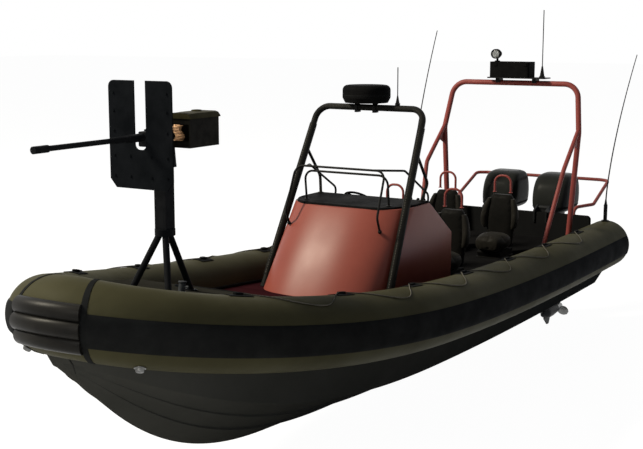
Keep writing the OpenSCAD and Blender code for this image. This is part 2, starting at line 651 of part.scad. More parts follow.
// Point off the rounded corner of the console's front, at a turn round the corner and a height
function front_pt(turn, lift, z) =
    let (out = (console_corner_r + lift) * cos(turn) - console_corner_r,
         y = console_half - console_corner_r + (console_corner_r + lift) * sin(turn),
         up = (z - console_top_z - out * sin(console_lean)) / cos(console_lean))
    [console_front_x + out * cos(console_lean) - up * sin(console_lean), y, z];
rail_foot = front_pt(rail_turn, rail_ball_r + fit_gap, console_top_z - 225);
rail_top_z = console_top_z + 440;
rail_front = [console_front_x - 60, console_half - 180, rail_top_z];
rail_inner = [console_front_x - 190, console_half - 220, rail_top_z - 70];
dash_foot_run = 180;
dash_foot_y = console_half - 130;
module grab_rails() {
    top_z = console_top_z + dash_t + 2 * fit_gap;
    swell = [rail_foot.x + 70, rail_foot.y, rail_foot.z + 160];
    inner_foot = [rail_inner.x - 40, rail_inner.y, top_z];
    slope_foot = [dash_break_x, console_top_z] + dash_dir * dash_foot_run + dash_n * (dash_t + 2 * fit_gap);
    aft_foot = [slope_foot.x, dash_foot_y, slope_foot.y];
    lift = [dash_n.x, 0, dash_n.y];
    color([0.06, 0.06, 0.06]) {
        bent_tube([rail_foot, swell, rail_front, flip(rail_front), flip(swell), flip(rail_foot)],
                  grab_rail_d, rail_bend, 3, 8);
        bent_tube([inner_foot + [0, 0, 4], rail_inner, flip(rail_inner), flip(inner_foot) + [0, 0, 4]],
                  grab_rail_d, rail_bend, 3, 8);
        mirror_pair() {
            translate(rail_foot) sphere(r = rail_ball_r);
            translate(inner_foot) cylinder(d = 64, h = 8);
            bent_tube([[rail_front.x, rail_front.y - 150, rail_top_z],
                       [rail_front.x - 380, dash_foot_y, rail_top_z - 30],
                       aft_foot + lift * 160, aft_foot + lift * 4], grab_rail_d, 80, 3, 8);
            translate(aft_foot) rotate([0, dash_tilt, 0]) cylinder(d = 64, h = 10);
        }
    }
}

radome_h = 225;
radome_y = -55;
module radome() {
    base_z = hoop_top_z + hoop_tube_d / 2 + fit_gap;
    color([0.09, 0.09, 0.09]) translate([hoop_head.x, radome_y, base_z]) {
        for (s = [-1, 1]) translate([-30, s * 120 - 22, 0]) cube([60, 44, 26]);
        translate([0, 0, 20]) rotate_extrude($fn = 64)
            polygon(rounded([[0, 0, 0], [radome_d / 2 - 30, 0, 0], [radome_d / 2, 60, 24],
                             [radome_d / 2, radome_h - 20, 60], [0, radome_h - 8, 0]], 8));
    }
}

// Seats

seat_places = [for (row = [0, 1]) for (side = [-1, 1]) [seat_row_x - row * seat_pitch, side * seat_y]];
pod_top_z = sole_z + 95;
seat_len = 560;
module each_seat() { for (p = seat_places) translate([p.x, p.y, 0]) children(); }
module seat_pods() {
    z0 = sole_z + fit_gap;
    color([0.14, 0.14, 0.14]) each_seat() {
        translate([0, 0, z0]) linear_extrude(14) polygon(round_box(20, -190, 500, 190, 40));
        across(rounded([[40, z0, 0], [440, z0, 0], [490, pod_top_z, 20], [20, pod_top_z, 20]]), -170, 170);
    }
}
module seat_cushions() {
    z0 = pod_top_z + fit_gap;
    color([0.17, 0.16, 0.14]) each_seat() {
        across(rounded([[150, z0, 20], [seat_len - 10, z0, 70], [seat_len + 20, cushion_top_z - 30, 85],
                        [150, cushion_top_z, 20]], 8), -seat_w * 0.33, seat_w * 0.33);
        mirror_pair() across(rounded([[150, z0, 20], [400, z0, 70], [430, cushion_top_z, 70],
                                      [150, cushion_top_z + 40, 20]], 6), seat_w * 0.33 + fit_gap,
                                          seat_w * 0.47);
    }
}
module seat_backs() {
    z0 = pod_top_z + fit_gap;
    front = [[150, cushion_top_z + 60, 0], [85 + fit_gap, seat_back_top_z, 0]];
    color([0.15, 0.14, 0.12]) each_seat() {
        intersection() {
            across(rounded([[10, z0, 0], [150 - fit_gap, z0, 0], [150 - fit_gap, cushion_top_z + 60, 30],
                            [85, seat_back_top_z, 30], [-40, seat_back_top_z, 40], [-20, 900, 60]]), -seat_w,
                                seat_w);
            lengthwise(rounded([[-seat_w * 0.36, z0, 0], [seat_w * 0.36, z0, 0],
                                [seat_w * 0.5, cushion_top_z + 190, 90],
                                [seat_w * 0.33, seat_back_top_z, 60], [-seat_w * 0.33, seat_back_top_z, 60],
                                [-seat_w * 0.5, cushion_top_z + 190, 90]]), -100, 200);
        }
        // Bolsters lie on the back's front face
        mirror_pair() intersection() {
            across(rounded([mix(front[0], front[1], 0.01), [205, cushion_top_z + 80, 30],
                            [190, cushion_top_z + 300, 60], mix(front[0], front[1], 0.87) + [5, 0, 0],
                            mix(front[0], front[1], 0.87)]), -seat_w, seat_w);
            lengthwise(rounded([[seat_w * 0.30, cushion_top_z + 40, 10],
                                [seat_w * 0.44, cushion_top_z + 40, 10],
                                [seat_w * 0.47, cushion_top_z + 190, 60],
                                    [seat_w * 0.34, seat_back_top_z - 40, 10],
                                [seat_w * 0.24, seat_back_top_z - 40, 10]]), -100, 300);
        }
    }
}
handle_w = 240;
handle_h = 235;
module seat_handles() {
    z0 = seat_back_top_z + fit_gap;
    color("firebrick") each_seat() translate([20, 0, 0]) {
        bent_tube([[0, -handle_w / 2, z0], [0, -handle_w / 2, z0 + handle_h],
                   [0, handle_w / 2, z0 + handle_h],
                   [0, handle_w / 2, z0]], seat_handle_d, handle_w * 0.42, 4, 8);
        for (s = [-1, 1]) translate([0, s * handle_w / 2, z0]) cylinder(d = seat_handle_d + 22, h = 8);
    }
}

// Stern arch and rail

arch_x = -4620;
arch_top_x = -4800;
arch_knee = [arch_x - 30, path_b - 325, 2050];
arch_foot = [arch_x, path_b - 425, sole_z + 14];
arch_corner = [arch_top_x, path_b - 415, arch_top_z];
arch_bend = 230;
gusset = 260;
arch_brace_bend = [arch_x + 575, path_b - 320, 1560];
arch_brace_foot = [arch_x + 1060, path_b - 435, sole_z + 14];
module stern_arch() {
    start = mix(arch_knee, arch_corner, 0.06);
    color("firebrick") {
        bent_tube([arch_foot, arch_knee, arch_corner, flip(arch_corner), flip(arch_knee), flip(arch_foot)],
                  arch_tube_d, arch_bend);
        mirror_pair() {
            bent_tube([start, arch_brace_bend, arch_brace_foot], arch_tube_d * 0.8, 260);
            across([[arch_knee.x, arch_knee.z], [arch_knee.x, arch_knee.z - gusset],
                    [arch_knee.x + gusset * 0.9, arch_knee.z - gusset * 0.62]], arch_knee.y - 5,
                        arch_knee.y + 5);
            for (p = [arch_foot, arch_brace_foot]) deck_foot(p.x, p.y, arch_tube_d + 60, 16);
        }
    }
}
platform_z = arch_top_z + arch_tube_d / 2 + 30;
module arch_platform() {
    saddle_w = 60;
    color([0.07, 0.07, 0.07]) {
        translate([arch_top_x, 60, platform_z]) linear_extrude(16)
            polygon(round_box(-150, -460, 150, 460, 40));
        for (y = [-250, 330]) difference() {
            translate([arch_top_x - 75, y - saddle_w / 2, arch_top_z + 4])
                cube([150, saddle_w, platform_z - arch_top_z - 3]);
            translate([arch_top_x, y - saddle_w, arch_top_z]) rotate([-90, 0, 0])
                cylinder(d = arch_tube_d + 2 * fit_gap, h = saddle_w * 2);
        }
    }
}
box_z = platform_z + 16 + fit_gap;
box_h = 230;
module equipment_box() {
    color([0.09, 0.09, 0.09]) {
        translate([arch_top_x, -45, box_z]) linear_extrude(box_h)
            polygon(round_box(-140, -315, 140, 315, 35));
        for (y = [-280, 190]) translate([arch_top_x + 140 - 2, y, box_z + box_h - 60]) cube([14, 45, 40]);
    }
}
module spotlight() {
    lamp_z = box_z + box_h + fit_gap;
    color([0.12, 0.12, 0.12]) translate([arch_top_x + 20, -280, lamp_z]) {
        cylinder(d = 80, h = 14);
        cylinder(d = 34, h = 70);
        translate([-70, 0, 115]) rotate([0, 90, 0]) rotate_extrude()
            polygon(rounded([[0, 0, 0], [45, 0, 20], [72, 90, 20], [72, 160, 0], [62, 160, 0], [58, 135, 0],
                             [0, 120, 0]]));
    }
}

// Antennas

module whip(foot, rise, reach) {
    steps = 8;
    base_h = 250;
    translate(foot) {
        translate([0, 0, fit_gap]) {
            cylinder(d = 110, h = 16);
            cylinder(d = 56, h = base_h);
            translate([0, 0, base_h - 1]) cylinder(d1 = 44, d2 = 18, h = 90);
        }
        swept([for (i = [0:steps]) let (f = i / steps)
            [-reach * pow(f, 1.5), 0, base_h + 40 + (rise - base_h - 40) * f]],
            [for (i = [0:steps]) mix(16, 7, i / steps)], 8);
    }
}
port_whip_x = -5030;
starboard_whip_x = -4150;
module antennas() {
    crest = tube_r * cos(tube_step / 2);
    hoop_ant_z = hoop_top_z + hoop_tube_d / 2 + fit_gap;
    color([0.06, 0.06, 0.06]) {
        whip([port_whip_x, path_b, station_at(port_whip_x)[4] + crest], 2430, 1270);
        whip([starboard_whip_x, -path_b, station_at(starboard_whip_x)[4] + crest], 2800, 850);
        translate([hoop_head.x, 360, hoop_ant_z]) {
            cylinder(d = 60, h = 24);
            translate([0, 0, 23]) cylinder(d1 = 46, d2 = 14, h = 90);
            cylinder(d = 12, h = 440);
        }
        translate([arch_top_x, 430, box_z]) {
            cylinder(d = 90, h = 20);
            translate([0, 0, 19]) cylinder(d1 = 70, d2 = 22, h = 150);
            cylinder(d = 14, h = 990);
        }
    }
}

stern_rail_z = 1190;
stern_rail_x = -6105;
rail_foot_y = path_b - 470;
module stern_rail() {
    foot = [transom_x + transom_t / 2, rail_foot_y, transom_top_z + fit_gap];
    color("firebrick") {
        rise = [-20, 10, 110];
        v = [foot + rise * 0.06, foot + rise, [transom_x - 320, path_b - 280, transom_top_z + 130],
             [stern_rail_x + 90, path_b - 285, stern_rail_z], [stern_rail_x, path_b - 440, stern_rail_z]];
        bent_tube(concat(v, [for (i = [len(v) - 1:-1:0]) flip(v[i])]), rail_tube_d, 60, 3, 8);
        mirror_pair() translate(foot) cylinder(d = rail_tube_d + 24, h = 12);
    }
}

// Outboard motors, modelled to port and mirrored

clamp_y = 96;
clamp_t = 26;
swivel_half = clamp_y - clamp_t / 2 - side_gap;
swivel_top_z = cowl_low_z - yoke_t - 2 * side_gap - 8;
swivel_low_z = transom_top_z - 400;
module motor_clamp() {
    hook_t = 24;
    front_x = transom_x + transom_t + fit_gap;
    for (s = [-1, 1]) difference() {
        across(rounded([[transom_x - fit_gap, transom_top_z - 330, 0],
                        [transom_x - fit_gap, transom_top_z + fit_gap, 0],
                        [front_x, transom_top_z + fit_gap, 0], [front_x, transom_top_z - 150, 0],
                        [front_x + hook_t, transom_top_z - 150, 0],
                            [front_x + hook_t, transom_top_z + 30, 20],
                        [tilt_x + 10, tilt_z + 46, 40], [tilt_x - 44, tilt_z + 20, 40],
                        [tilt_x - 40, tilt_z - 60, 40], [transom_x - 60, transom_top_z - 330, 20]]),
               s * clamp_y - clamp_t / 2, s * clamp_y + clamp_t / 2);
        translate([tilt_x, s * clamp_y - clamp_t, tilt_z]) rotate([-90, 0, 0])
            cylinder(r = tilt_pin_r + run_gap, h = 2 * clamp_t);
    }
}
module motor_clamps() {
    color([0.2, 0.2, 0.21]) for (s = [-1, 1]) translate([0, s * motor_y, 0]) motor_clamp();
}
module swivel() {
    color([0.2, 0.2, 0.21]) difference() {
        union() {
            translate([tilt_x, -clamp_y - clamp_t / 2, tilt_z]) rotate([-90, 0, 0])
                cylinder(r = tilt_pin_r, h = 2 * clamp_y + clamp_t);
            translate([tilt_x, -swivel_half, tilt_z]) rotate([-90, 0, 0])
                cylinder(r = 34, h = 2 * swivel_half);
            across(rounded([[tilt_x + 24, tilt_z - 24, 0], [tilt_x, tilt_z + 26, 10],
                            [tilt_x - 30, tilt_z, 10],
                            [steer_x + 72, swivel_top_z, 0], [steer_x, swivel_top_z, 0],
                                [steer_x, swivel_low_z + 120, 0],
                            [tilt_x + 24, swivel_top_z - 60, 20]]), -swivel_half + 8, swivel_half - 8);
            translate([steer_x, 0, swivel_low_z]) cylinder(r = 52, h = swivel_top_z - swivel_low_z);
        }
        translate([steer_x, 0, swivel_low_z - 10])
            cylinder(r = steer_shaft_r + run_gap, h = swivel_top_z - swivel_low_z + 20);
    }
}
module swivel_port() { translate([0, motor_y, 0]) swivel(); }
module swivel_starboard() { translate([0, -motor_y, 0]) swivel(); }

function oval(x0, x1, hw, z, e, n = 24) =
    [for (i = [0:n - 1]) let (a = -i * 360 / n, c = cos(a), s = sin(a))
        [(x0 + x1) / 2 + (x1 - x0) / 2 * sign(c) * pow(abs(c), 2 / e), hw * sign(s) * pow(abs(s), 2 / e), z]];
cowl_front_x = steer_x - 20;
cowl_rear_x = cowl_front_x - 800;
cowl_h = cowl_top_z - cowl_low_z;
// Columns: share of the height, front set back, rear set forward, share of the half width
cowl_rows = [[0, 60, 90, 0.80], [0.06, 15, 40, 0.93], [0.18, 0, 12, 0.985], [0.36, 0, 0, 1],
             [0.55, 22, 4, 0.995],
             [0.72, 62, 22, 0.97], [0.86, 125, 62, 0.92], [0.95, 200, 120, 0.83], [1, 300, 215, 0.66]];
cowl_wall = 14;
module cowl_form(inset, rows, n) {
    loft([for (i = rows) let (r = cowl_rows[i])
        oval(cowl_rear_x + r[2] + inset, cowl_front_x - r[1] - inset, (cowl_w / 2 - inset) * r[3],
             cowl_low_z + inset + (cowl_h - 2 * inset) * r[0], 3.2, n)]);
}
module cowl() {
    color([0.16, 0.16, 0.17]) difference() {
        cowl_form(0, [0:len(cowl_rows) - 1], 24);
        cowl_form(cowl_wall, [0, 2, 4, 6, 8], 16);
    }
}
module cowl_port() { translate([0, motor_y, 0]) cowl(); }
module cowl_starboard() { translate([0, -motor_y, 0]) cowl(); }

head_w = 360;
module powerhead() {
    z0 = cowl_low_z + cowl_wall + fit_gap;
    color([0.35, 0.35, 0.36]) translate([0, 0, z0])
        linear_extrude(cowl_h * 0.68) polygon(round_box(cowl_rear_x + 170, -head_w / 2, cowl_front_x - 150,
                                                        head_w / 2, 60));
}
module powerhead_port() { translate([0, motor_y, 0]) powerhead(); }
module powerhead_starboard() { translate([0, -motor_y, 0]) powerhead(); }

plate_z = prop_z + 250;
gear_r = 88;
gear_front_x = steer_x + 85;
prop_x = gear_front_x - 640;
leg_top_z = cowl_low_z - fit_gap;
// Columns: height, front, rear, half width
leg_rows = [[leg_top_z, steer_x - 80, steer_x - 560, 170], [leg_top_z - 70, steer_x - 76, steer_x - 540, 160],
            [leg_top_z - 240, steer_x - 72, steer_x - 470, 105],
                [leg_top_z - 700, steer_x - 70, steer_x - 430, 82],
            [plate_z, steer_x - 60, steer_x - 430, 70], [plate_z - 60, steer_x - 40, steer_x - 420, 52],
            [prop_z, steer_x - 20, steer_x - 420, 40]];
module leg() {
    yoke_low = swivel_low_z - side_gap - yoke_t;
    yoke_top = swivel_top_z + side_gap;
    color([0.17, 0.17, 0.18]) {
        loft([for (r = leg_rows) oval(r[2], r[1], r[3], r[0], 2.5)]);
        translate([steer_x, 0, yoke_low + 2])
            cylinder(r = steer_shaft_r, h = yoke_top + yoke_t - 4 - yoke_low);
        for (z = [yoke_low, yoke_top]) translate([0, 0, z]) linear_extrude(yoke_t)
            polygon(round_box(steer_x - 160, -58, steer_x + 48, 58, 44));
        translate([0, 0, plate_z]) linear_extrude(16)
            polygon(rounded([[steer_x - 60, -60, 40], [steer_x - 60, 60, 40], [steer_x - 300, 150, 120],
                             [steer_x - 640, 120, 60], [steer_x - 640, -120, 60],
                                 [steer_x - 300, -150, 120]]));
        translate([prop_x + 6, 0, prop_z]) rotate([0, 90, 0]) rotate_extrude()
            polygon(rounded([[0, 0, 0], [gear_r * 0.82, 0, 10], [gear_r, 220, 200], [gear_r, 420, 200],
                             [0, gear_front_x - prop_x - 6, 0]], 8));
        translate([prop_x + 10, 0, prop_z]) rotate([0, -90, 0])
            cylinder(r = prop_shaft_r, h = prop_shaft_len + 10);
        across(rounded([[steer_x - 40, prop_z - gear_r + 20, 0], [steer_x - 190, prop_z - 190, 20],
                        [steer_x - 260, prop_z - 190, 20], [steer_x - 330, prop_z - gear_r + 20, 0]]), -8, 8);
    }
}
module leg_port() { translate([0, motor_y, 0]) leg(); }
module leg_starboard() { translate([0, -motor_y, 0]) leg(); }

blade_count = 3;
hub_r = 62;
hub_len = 230;
blade_sections = 6;
// Blade section at a radius: a thin lens set at the helix angle of one pitch
function blade_section(f) =
    let (r = mix(hub_r - 14, prop_d / 2, f),
         chord = prop_d * 0.40 * sqrt(max(0.12, 1 - pow(2 * f - 0.9, 2) * 0.75)),
         pitch = atan(prop_d * 1.05 / (2 * PI * max(r, hub_r))), t = mix(12, 3, f), rake = -40 * f)
    [for (q = [[-0.5, 0], [-0.2, 0.8], [0.15, 1], [0.5, 0.1], [0.15, -0.2], [-0.2, -0.2]])
        let (u = q.x * chord, v = q.y * t, x = u * sin(pitch) + v * cos(pitch) + rake,
             a = (u * cos(pitch) - v * sin(pitch)) / r * 180 / PI)
        [x, r * sin(a), r * cos(a)]];
module propeller() {
    bore_r = prop_shaft_r + run_gap;
    bore_len = prop_shaft_len + side_gap;
    color("silver") translate([prop_x, 0, prop_z]) {
        rotate([0, -90, 0]) rotate_extrude()
            polygon(rounded([[bore_r, 0, 0], [hub_r + 6, 0, 6], [hub_r, hub_len * 0.6, 0],
                             [hub_r * 0.72, hub_len, 20],
                             [0, hub_len, 0], [0, bore_len, 0], [bore_r, bore_len, 0]]));
        for (i = [0:blade_count - 1]) rotate([i * 360 / blade_count, 0, 0]) translate([-hub_len * 0.42, 0, 0])
            loft([for (k = [0:blade_sections]) blade_section(k / blade_sections)]);
    }
}
module propeller_port() { translate([0, motor_y, 0]) propeller(); }
module propeller_starboard() { translate([0, -motor_y, 0]) propeller(); }

// Gun on its tripod

leg_d = 62;
foot_d = 120;
post_w = 130;
post_top_z = trunnion_z - 330;
pintle_r = 30;
pintle_len = 140;
module gun_tripod() {
    head = [gun_x, 0, tripod_head_z + 20];
    color([0.09, 0.09, 0.09]) {
        for (p = gun_foot_x) {
            za = locker_z(p.x - foot_d / 2);
            zb = locker_z(p.x + foot_d / 2);
            base = [p.x, p.y, max(locker_z(p.x), (za + zb) / 2) + fit_gap];
            slope = atan((zb - za) / foot_d);
            top = head + [(p.x - gun_x) * 0.12, p.y * 0.12, -30];
            translate(base) rotate([0, -slope, 0]) cylinder(d = foot_d, h = 16);
            difference() {
                rod(base - unit(top - base) * leg_d / 2, top, leg_d);
                translate(base) rotate([0, -slope, 0]) translate([-foot_d, -foot_d, -foot_d])
                    cube([2 * foot_d, 2 * foot_d, foot_d + 4]);
            }
        }
        translate([gun_x, 0, tripod_head_z - 45]) cylinder(d = 190, h = 60);
        difference() {
            translate([gun_x - post_w / 2, -post_w / 2, tripod_head_z])
                cube([post_w, post_w, post_top_z - tripod_head_z]);
            translate([gun_x, 0, post_top_z - pintle_len])
                cylinder(r = pintle_r + run_gap, h = pintle_len + 1);
        }
    }
}
trunnion_r = 16;
cradle_w = 120;
cheek_t = 20;
cheek_y = cradle_w / 2 + side_gap + cheek_t / 2;
shield_x = gun_x + 300;
module gun_yoke() {
    z0 = post_top_z + side_gap;
    color([0.1, 0.1, 0.1]) {
        translate([gun_x, 0, z0 - side_gap - pintle_len + 10])
            cylinder(r = pintle_r, h = pintle_len + side_gap);
        translate([gun_x, 0, z0]) cylinder(d = 170, h = 40);
        translate([gun_x - 80, -cheek_y - cheek_t / 2, z0 + 30]) cube([160, 2 * cheek_y + cheek_t, 30]);
        for (s = [-1, 1]) difference() {
            across(rounded([[gun_x - 80, z0 + 30, 0], [gun_x + 80, z0 + 30, 0],
                            [gun_x + 45, trunnion_z + 45, 45],
                            [gun_x - 45, trunnion_z + 45, 45]]), s * cheek_y - cheek_t / 2,
                                s * cheek_y + cheek_t / 2);
            translate([gun_x, s * cheek_y - cheek_t, trunnion_z]) rotate([-90, 0, 0])
                cylinder(r = trunnion_r + run_gap, h = 2 * cheek_t);
        }
        for (s = [-1, 1]) translate([gun_x + 70, s * cheek_y - 15, z0 + 32])
            cube([shield_x - gun_x - 70 - fit_gap, 30, 28]);
    }
}
shield_top_z = trunnion_z + 500;
module gun_shield() {
    half = shield_w / 2;
    z0 = shield_top_z - shield_h;
    slot = shield_slot_w / 2;
    color([0.13, 0.13, 0.13])
        lengthwise(rounded([[-half + 70, z0, 0], [half - 70, z0, 0], [half, z0 + 80, 0],
                            [half, shield_top_z, 60],
                            [slot, shield_top_z, 0], [slot, trunnion_z - 110, 50],
                                [-slot, trunnion_z - 110, 50],
                            [-slot, shield_top_z, 0], [-half, shield_top_z, 60], [-half, z0 + 80, 0]]),
                   shield_x, shield_x + shield_t);
}
module gun_receiver() {
    half = cradle_w / 2;
    color([0.1, 0.1, 0.1]) {
        translate([gun_x, -cheek_y - cheek_t / 2, trunnion_z]) rotate([-90, 0, 0])
            cylinder(r = trunnion_r, h = 2 * cheek_y + cheek_t);
        across(rounded([[gun_x - 420, trunnion_z - 60, 10], [gun_x + 190, trunnion_z - 60, 10],
                        [gun_x + 190, trunnion_z + 62, 10], [gun_x - 300, trunnion_z + 78, 10],
                        [gun_x - 420, trunnion_z + 40, 10]]), -half, half);
        translate([gun_x - 420 + 2, 0, trunnion_z - 10]) rotate([0, -90, 0]) cylinder(d = 70, h = 60);
        for (s = [-1, 1]) {
            rod([gun_x - 460, s * 20, trunnion_z - 10], [gun_x - 500, s * 95, trunnion_z - 10], 26);
            rod([gun_x - 498, s * 95, trunnion_z - 90], [gun_x - 498, s * 95, trunnion_z + 50], 34);
        }
        translate([gun_x - 320, half - 2, trunnion_z - 60]) cube([140, ammo_y[0] - half + 2 - fit_gap, 20]);
    }
}
jacket_d = 74;
module gun_barrel() {
    x0 = gun_x + 190 + fit_gap;
    // Columns: start and end from the elevation axis, diameter
    steps = [[x0 - gun_x, 480, jacket_d], [478, 540, jacket_d * 0.86], [538, 690, barrel_d * 1.25],
             [688, barrel_reach - 160, barrel_d], [barrel_reach - 162, barrel_reach, barrel_d * 1.35]];
    color([0.1, 0.1, 0.1]) for (s = steps)
        translate([gun_x + s[0], 0, trunnion_z]) rotate([0, 90, 0]) cylinder(d = s[2], h = s[1] - s[0]);
}
ammo_x = [gun_x - 370, gun_x + 60];
ammo_y = [cheek_y + cheek_t / 2 + 40, 355];
ammo_z = [trunnion_z - 100, trunnion_z + 210];
module ammo_box() {
    color([0.12, 0.13, 0.1]) {
        difference() {
            translate([ammo_x[0], ammo_y[0], ammo_z[0]])
                cube([ammo_x[1] - ammo_x[0], ammo_y[1] - ammo_y[0], 270]);
            translate([ammo_x[1] - 90, ammo_y[0] + 14, ammo_z[0] + 60])
                cube([100, ammo_y[1] - ammo_y[0] - 28, 150]);
        }
        lengthwise(rounded([[ammo_y[0] - 12, ammo_z[0] + 262, 0], [ammo_y[1] + 12, ammo_z[0] + 262, 0],
                            [ammo_y[1] - 20, ammo_z[1], 50], [ammo_y[0] + 20, ammo_z[1], 50]]),
                                ammo_x[0] - 8, ammo_x[1] + 8);
    }
}
module ammo_belt() {
    round_d = 13;
    pitch = round_d - 0.4;
    rows = 3;
    per_row = 14;
    color("peru") for (r = [0:rows - 1]) for (i = [0:per_row - 1])
        translate([ammo_x[1] - 82, ammo_y[0] + 24 + pitch * i,
                   ammo_z[0] + 60 + fit_gap + round_d / 2 + pitch * r])
            rotate([0, 90, 0]) cylinder(d = round_d, h = 95);
}

hull();
aft_sole();
fore_sole();
bow_locker();
bow_bitt();
transom();
tube_port();
tube_starboard();
tube_bow();
rub_strakes();
bow_fender();
seam_straps();
grab_line_patches();
grab_line_port();
grab_line_starboard();
towing_eyes();
console();
console_dash();
helm_wheel();
console_hoop();
grab_rails();
radome();
seat_pods();
seat_cushions();
seat_backs();
seat_handles();
stern_arch();
arch_platform();
equipment_box();
spotlight();
antennas();
stern_rail();
motor_clamps();
swivel_port();
swivel_starboard();
leg_port();
leg_starboard();
cowl_port();
cowl_starboard();
powerhead_port();
powerhead_starboard();
propeller_port();
propeller_starboard();
gun_tripod();
gun_yoke();
gun_shield();
gun_receiver();
gun_barrel();
ammo_box();
ammo_belt();
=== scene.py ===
"""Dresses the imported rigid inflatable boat: smooth skins, upholstery, ropes, fittings and finishes."""
import json
import logging
import math
from dataclasses import dataclass
from enum import Enum
from typing import Any, Callable, Dict, Iterable, List, NamedTuple, Optional, Sequence, Tuple, TypeVar, Union

import bmesh
import bpy
from mathutils import Matrix, Vector

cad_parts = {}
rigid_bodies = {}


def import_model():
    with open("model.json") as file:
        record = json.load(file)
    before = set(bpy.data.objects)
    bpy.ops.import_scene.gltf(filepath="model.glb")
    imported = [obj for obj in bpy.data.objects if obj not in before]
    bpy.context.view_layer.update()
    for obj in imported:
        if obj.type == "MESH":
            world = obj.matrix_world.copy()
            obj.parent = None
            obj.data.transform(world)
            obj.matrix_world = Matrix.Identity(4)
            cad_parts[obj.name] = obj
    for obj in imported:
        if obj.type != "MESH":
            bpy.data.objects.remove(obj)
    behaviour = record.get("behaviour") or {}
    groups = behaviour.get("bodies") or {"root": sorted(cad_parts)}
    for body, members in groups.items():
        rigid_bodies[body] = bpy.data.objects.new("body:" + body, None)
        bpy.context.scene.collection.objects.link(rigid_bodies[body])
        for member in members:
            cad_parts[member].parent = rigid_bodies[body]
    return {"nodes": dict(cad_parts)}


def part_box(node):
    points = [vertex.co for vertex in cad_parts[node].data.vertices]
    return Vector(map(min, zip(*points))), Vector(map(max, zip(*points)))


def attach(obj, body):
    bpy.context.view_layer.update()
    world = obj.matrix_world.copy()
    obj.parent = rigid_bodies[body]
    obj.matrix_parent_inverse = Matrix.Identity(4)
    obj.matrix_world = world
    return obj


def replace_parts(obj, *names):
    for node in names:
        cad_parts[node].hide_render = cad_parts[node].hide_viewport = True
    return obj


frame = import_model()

LOG = logging.getLogger("boat")
RGB = Tuple[float, float, float]
Point = Tuple[float, float, float]
Socket = bpy.types.NodeSocket
BMesh = bmesh.types.BMesh
Blend = TypeVar("Blend", float, Vector)
IMAGE_SIZE = (643, 449)
UP = Vector((0, 0, 1))
AHEAD = Vector((1, 0, 0))
ACROSS = Vector((0, 1, 0))
# Clearance between a piece and what carries it
GAP = 0.0004


class Side(Enum):
    """Side of the boat, as the sign of Y."""

    PORT = 1
    STARBOARD = -1

    @property
    def word(self) -> str:
        """Name used in CAD nodes and bodies."""
        return self.name.lower()

    def place(self, p: Vector) -> Vector:
        """Point on this side for a point on the port side."""
        return p if self is Side.PORT else flip(p)


# Shapes


def mix(a: Blend, b: Blend, f: float) -> Blend:
    """Blends two numbers or vectors."""
    return a + (b - a) * f


def rounded(value: float, power: float) -> float:
    """Cosine or sine of an ellipse, swollen towards a rectangle by a power above 2."""
    return math.copysign(abs(value) ** (2 / power), value)


def flip(p: Vector) -> Vector:
    """Mirrors a point across the centreline."""
    return Vector((p.x, -p.y, p.z))


def smooth_table(rows: Sequence[Sequence[float]], steps: int) -> List[List[float]]:
    """Passes a smooth curve through the rows of a table.

    Args:
        rows: Rows of numbers of one length.
        steps: New rows for each old interval.

    Returns:
        The finer table, with the old rows in it.
    """
    out: List[List[float]] = []
    last = len(rows) - 1
    for i in range(last):
        p0, p1, p2, p3 = rows[max(0, i - 1)], rows[i], rows[i + 1], rows[min(last, i + 2)]
        for k in range(steps):
            t = k / steps
            out.append([0.5 * (2 * b + (c - a) * t + (2 * a - 5 * b + 4 * c - d) * t * t
                               + (3 * b - a - 3 * c + d) * t ** 3) for a, b, c, d in zip(p0, p1, p2, p3)])
    out.append(list(rows[last]))
    return out


def bent_route(points: Sequence[Vector], radius: float, steps: int = 8) -> List[Vector]:
    """Rounds the corners of a route with arcs of one radius.

    Args:
        points: Corners of the route.
        radius: Bend radius.
        steps: Pieces of each arc.

    Returns:
        Points along straights and arcs.
    """
    route = [points[0].copy()]
    for a, p, b in zip(points, points[1:], points[2:]):
        u, w = (p - a).normalized(), (b - p).normalized()
        turn = math.acos(max(-1.0, min(1.0, u.dot(w))))
        if turn < 1e-4:
            route.append(p.copy())
            continue
        start = p - u * radius * math.tan(turn / 2)
        centre = p + (w - u).normalized() * radius / math.cos(turn / 2)
        arm = (start - centre).normalized()
        for k in range(steps + 1):
            angle = turn * k / steps
            route.append(centre + radius * (arm * math.cos(angle) + u * math.sin(angle)))
    route.append(points[-1].copy())
    return route


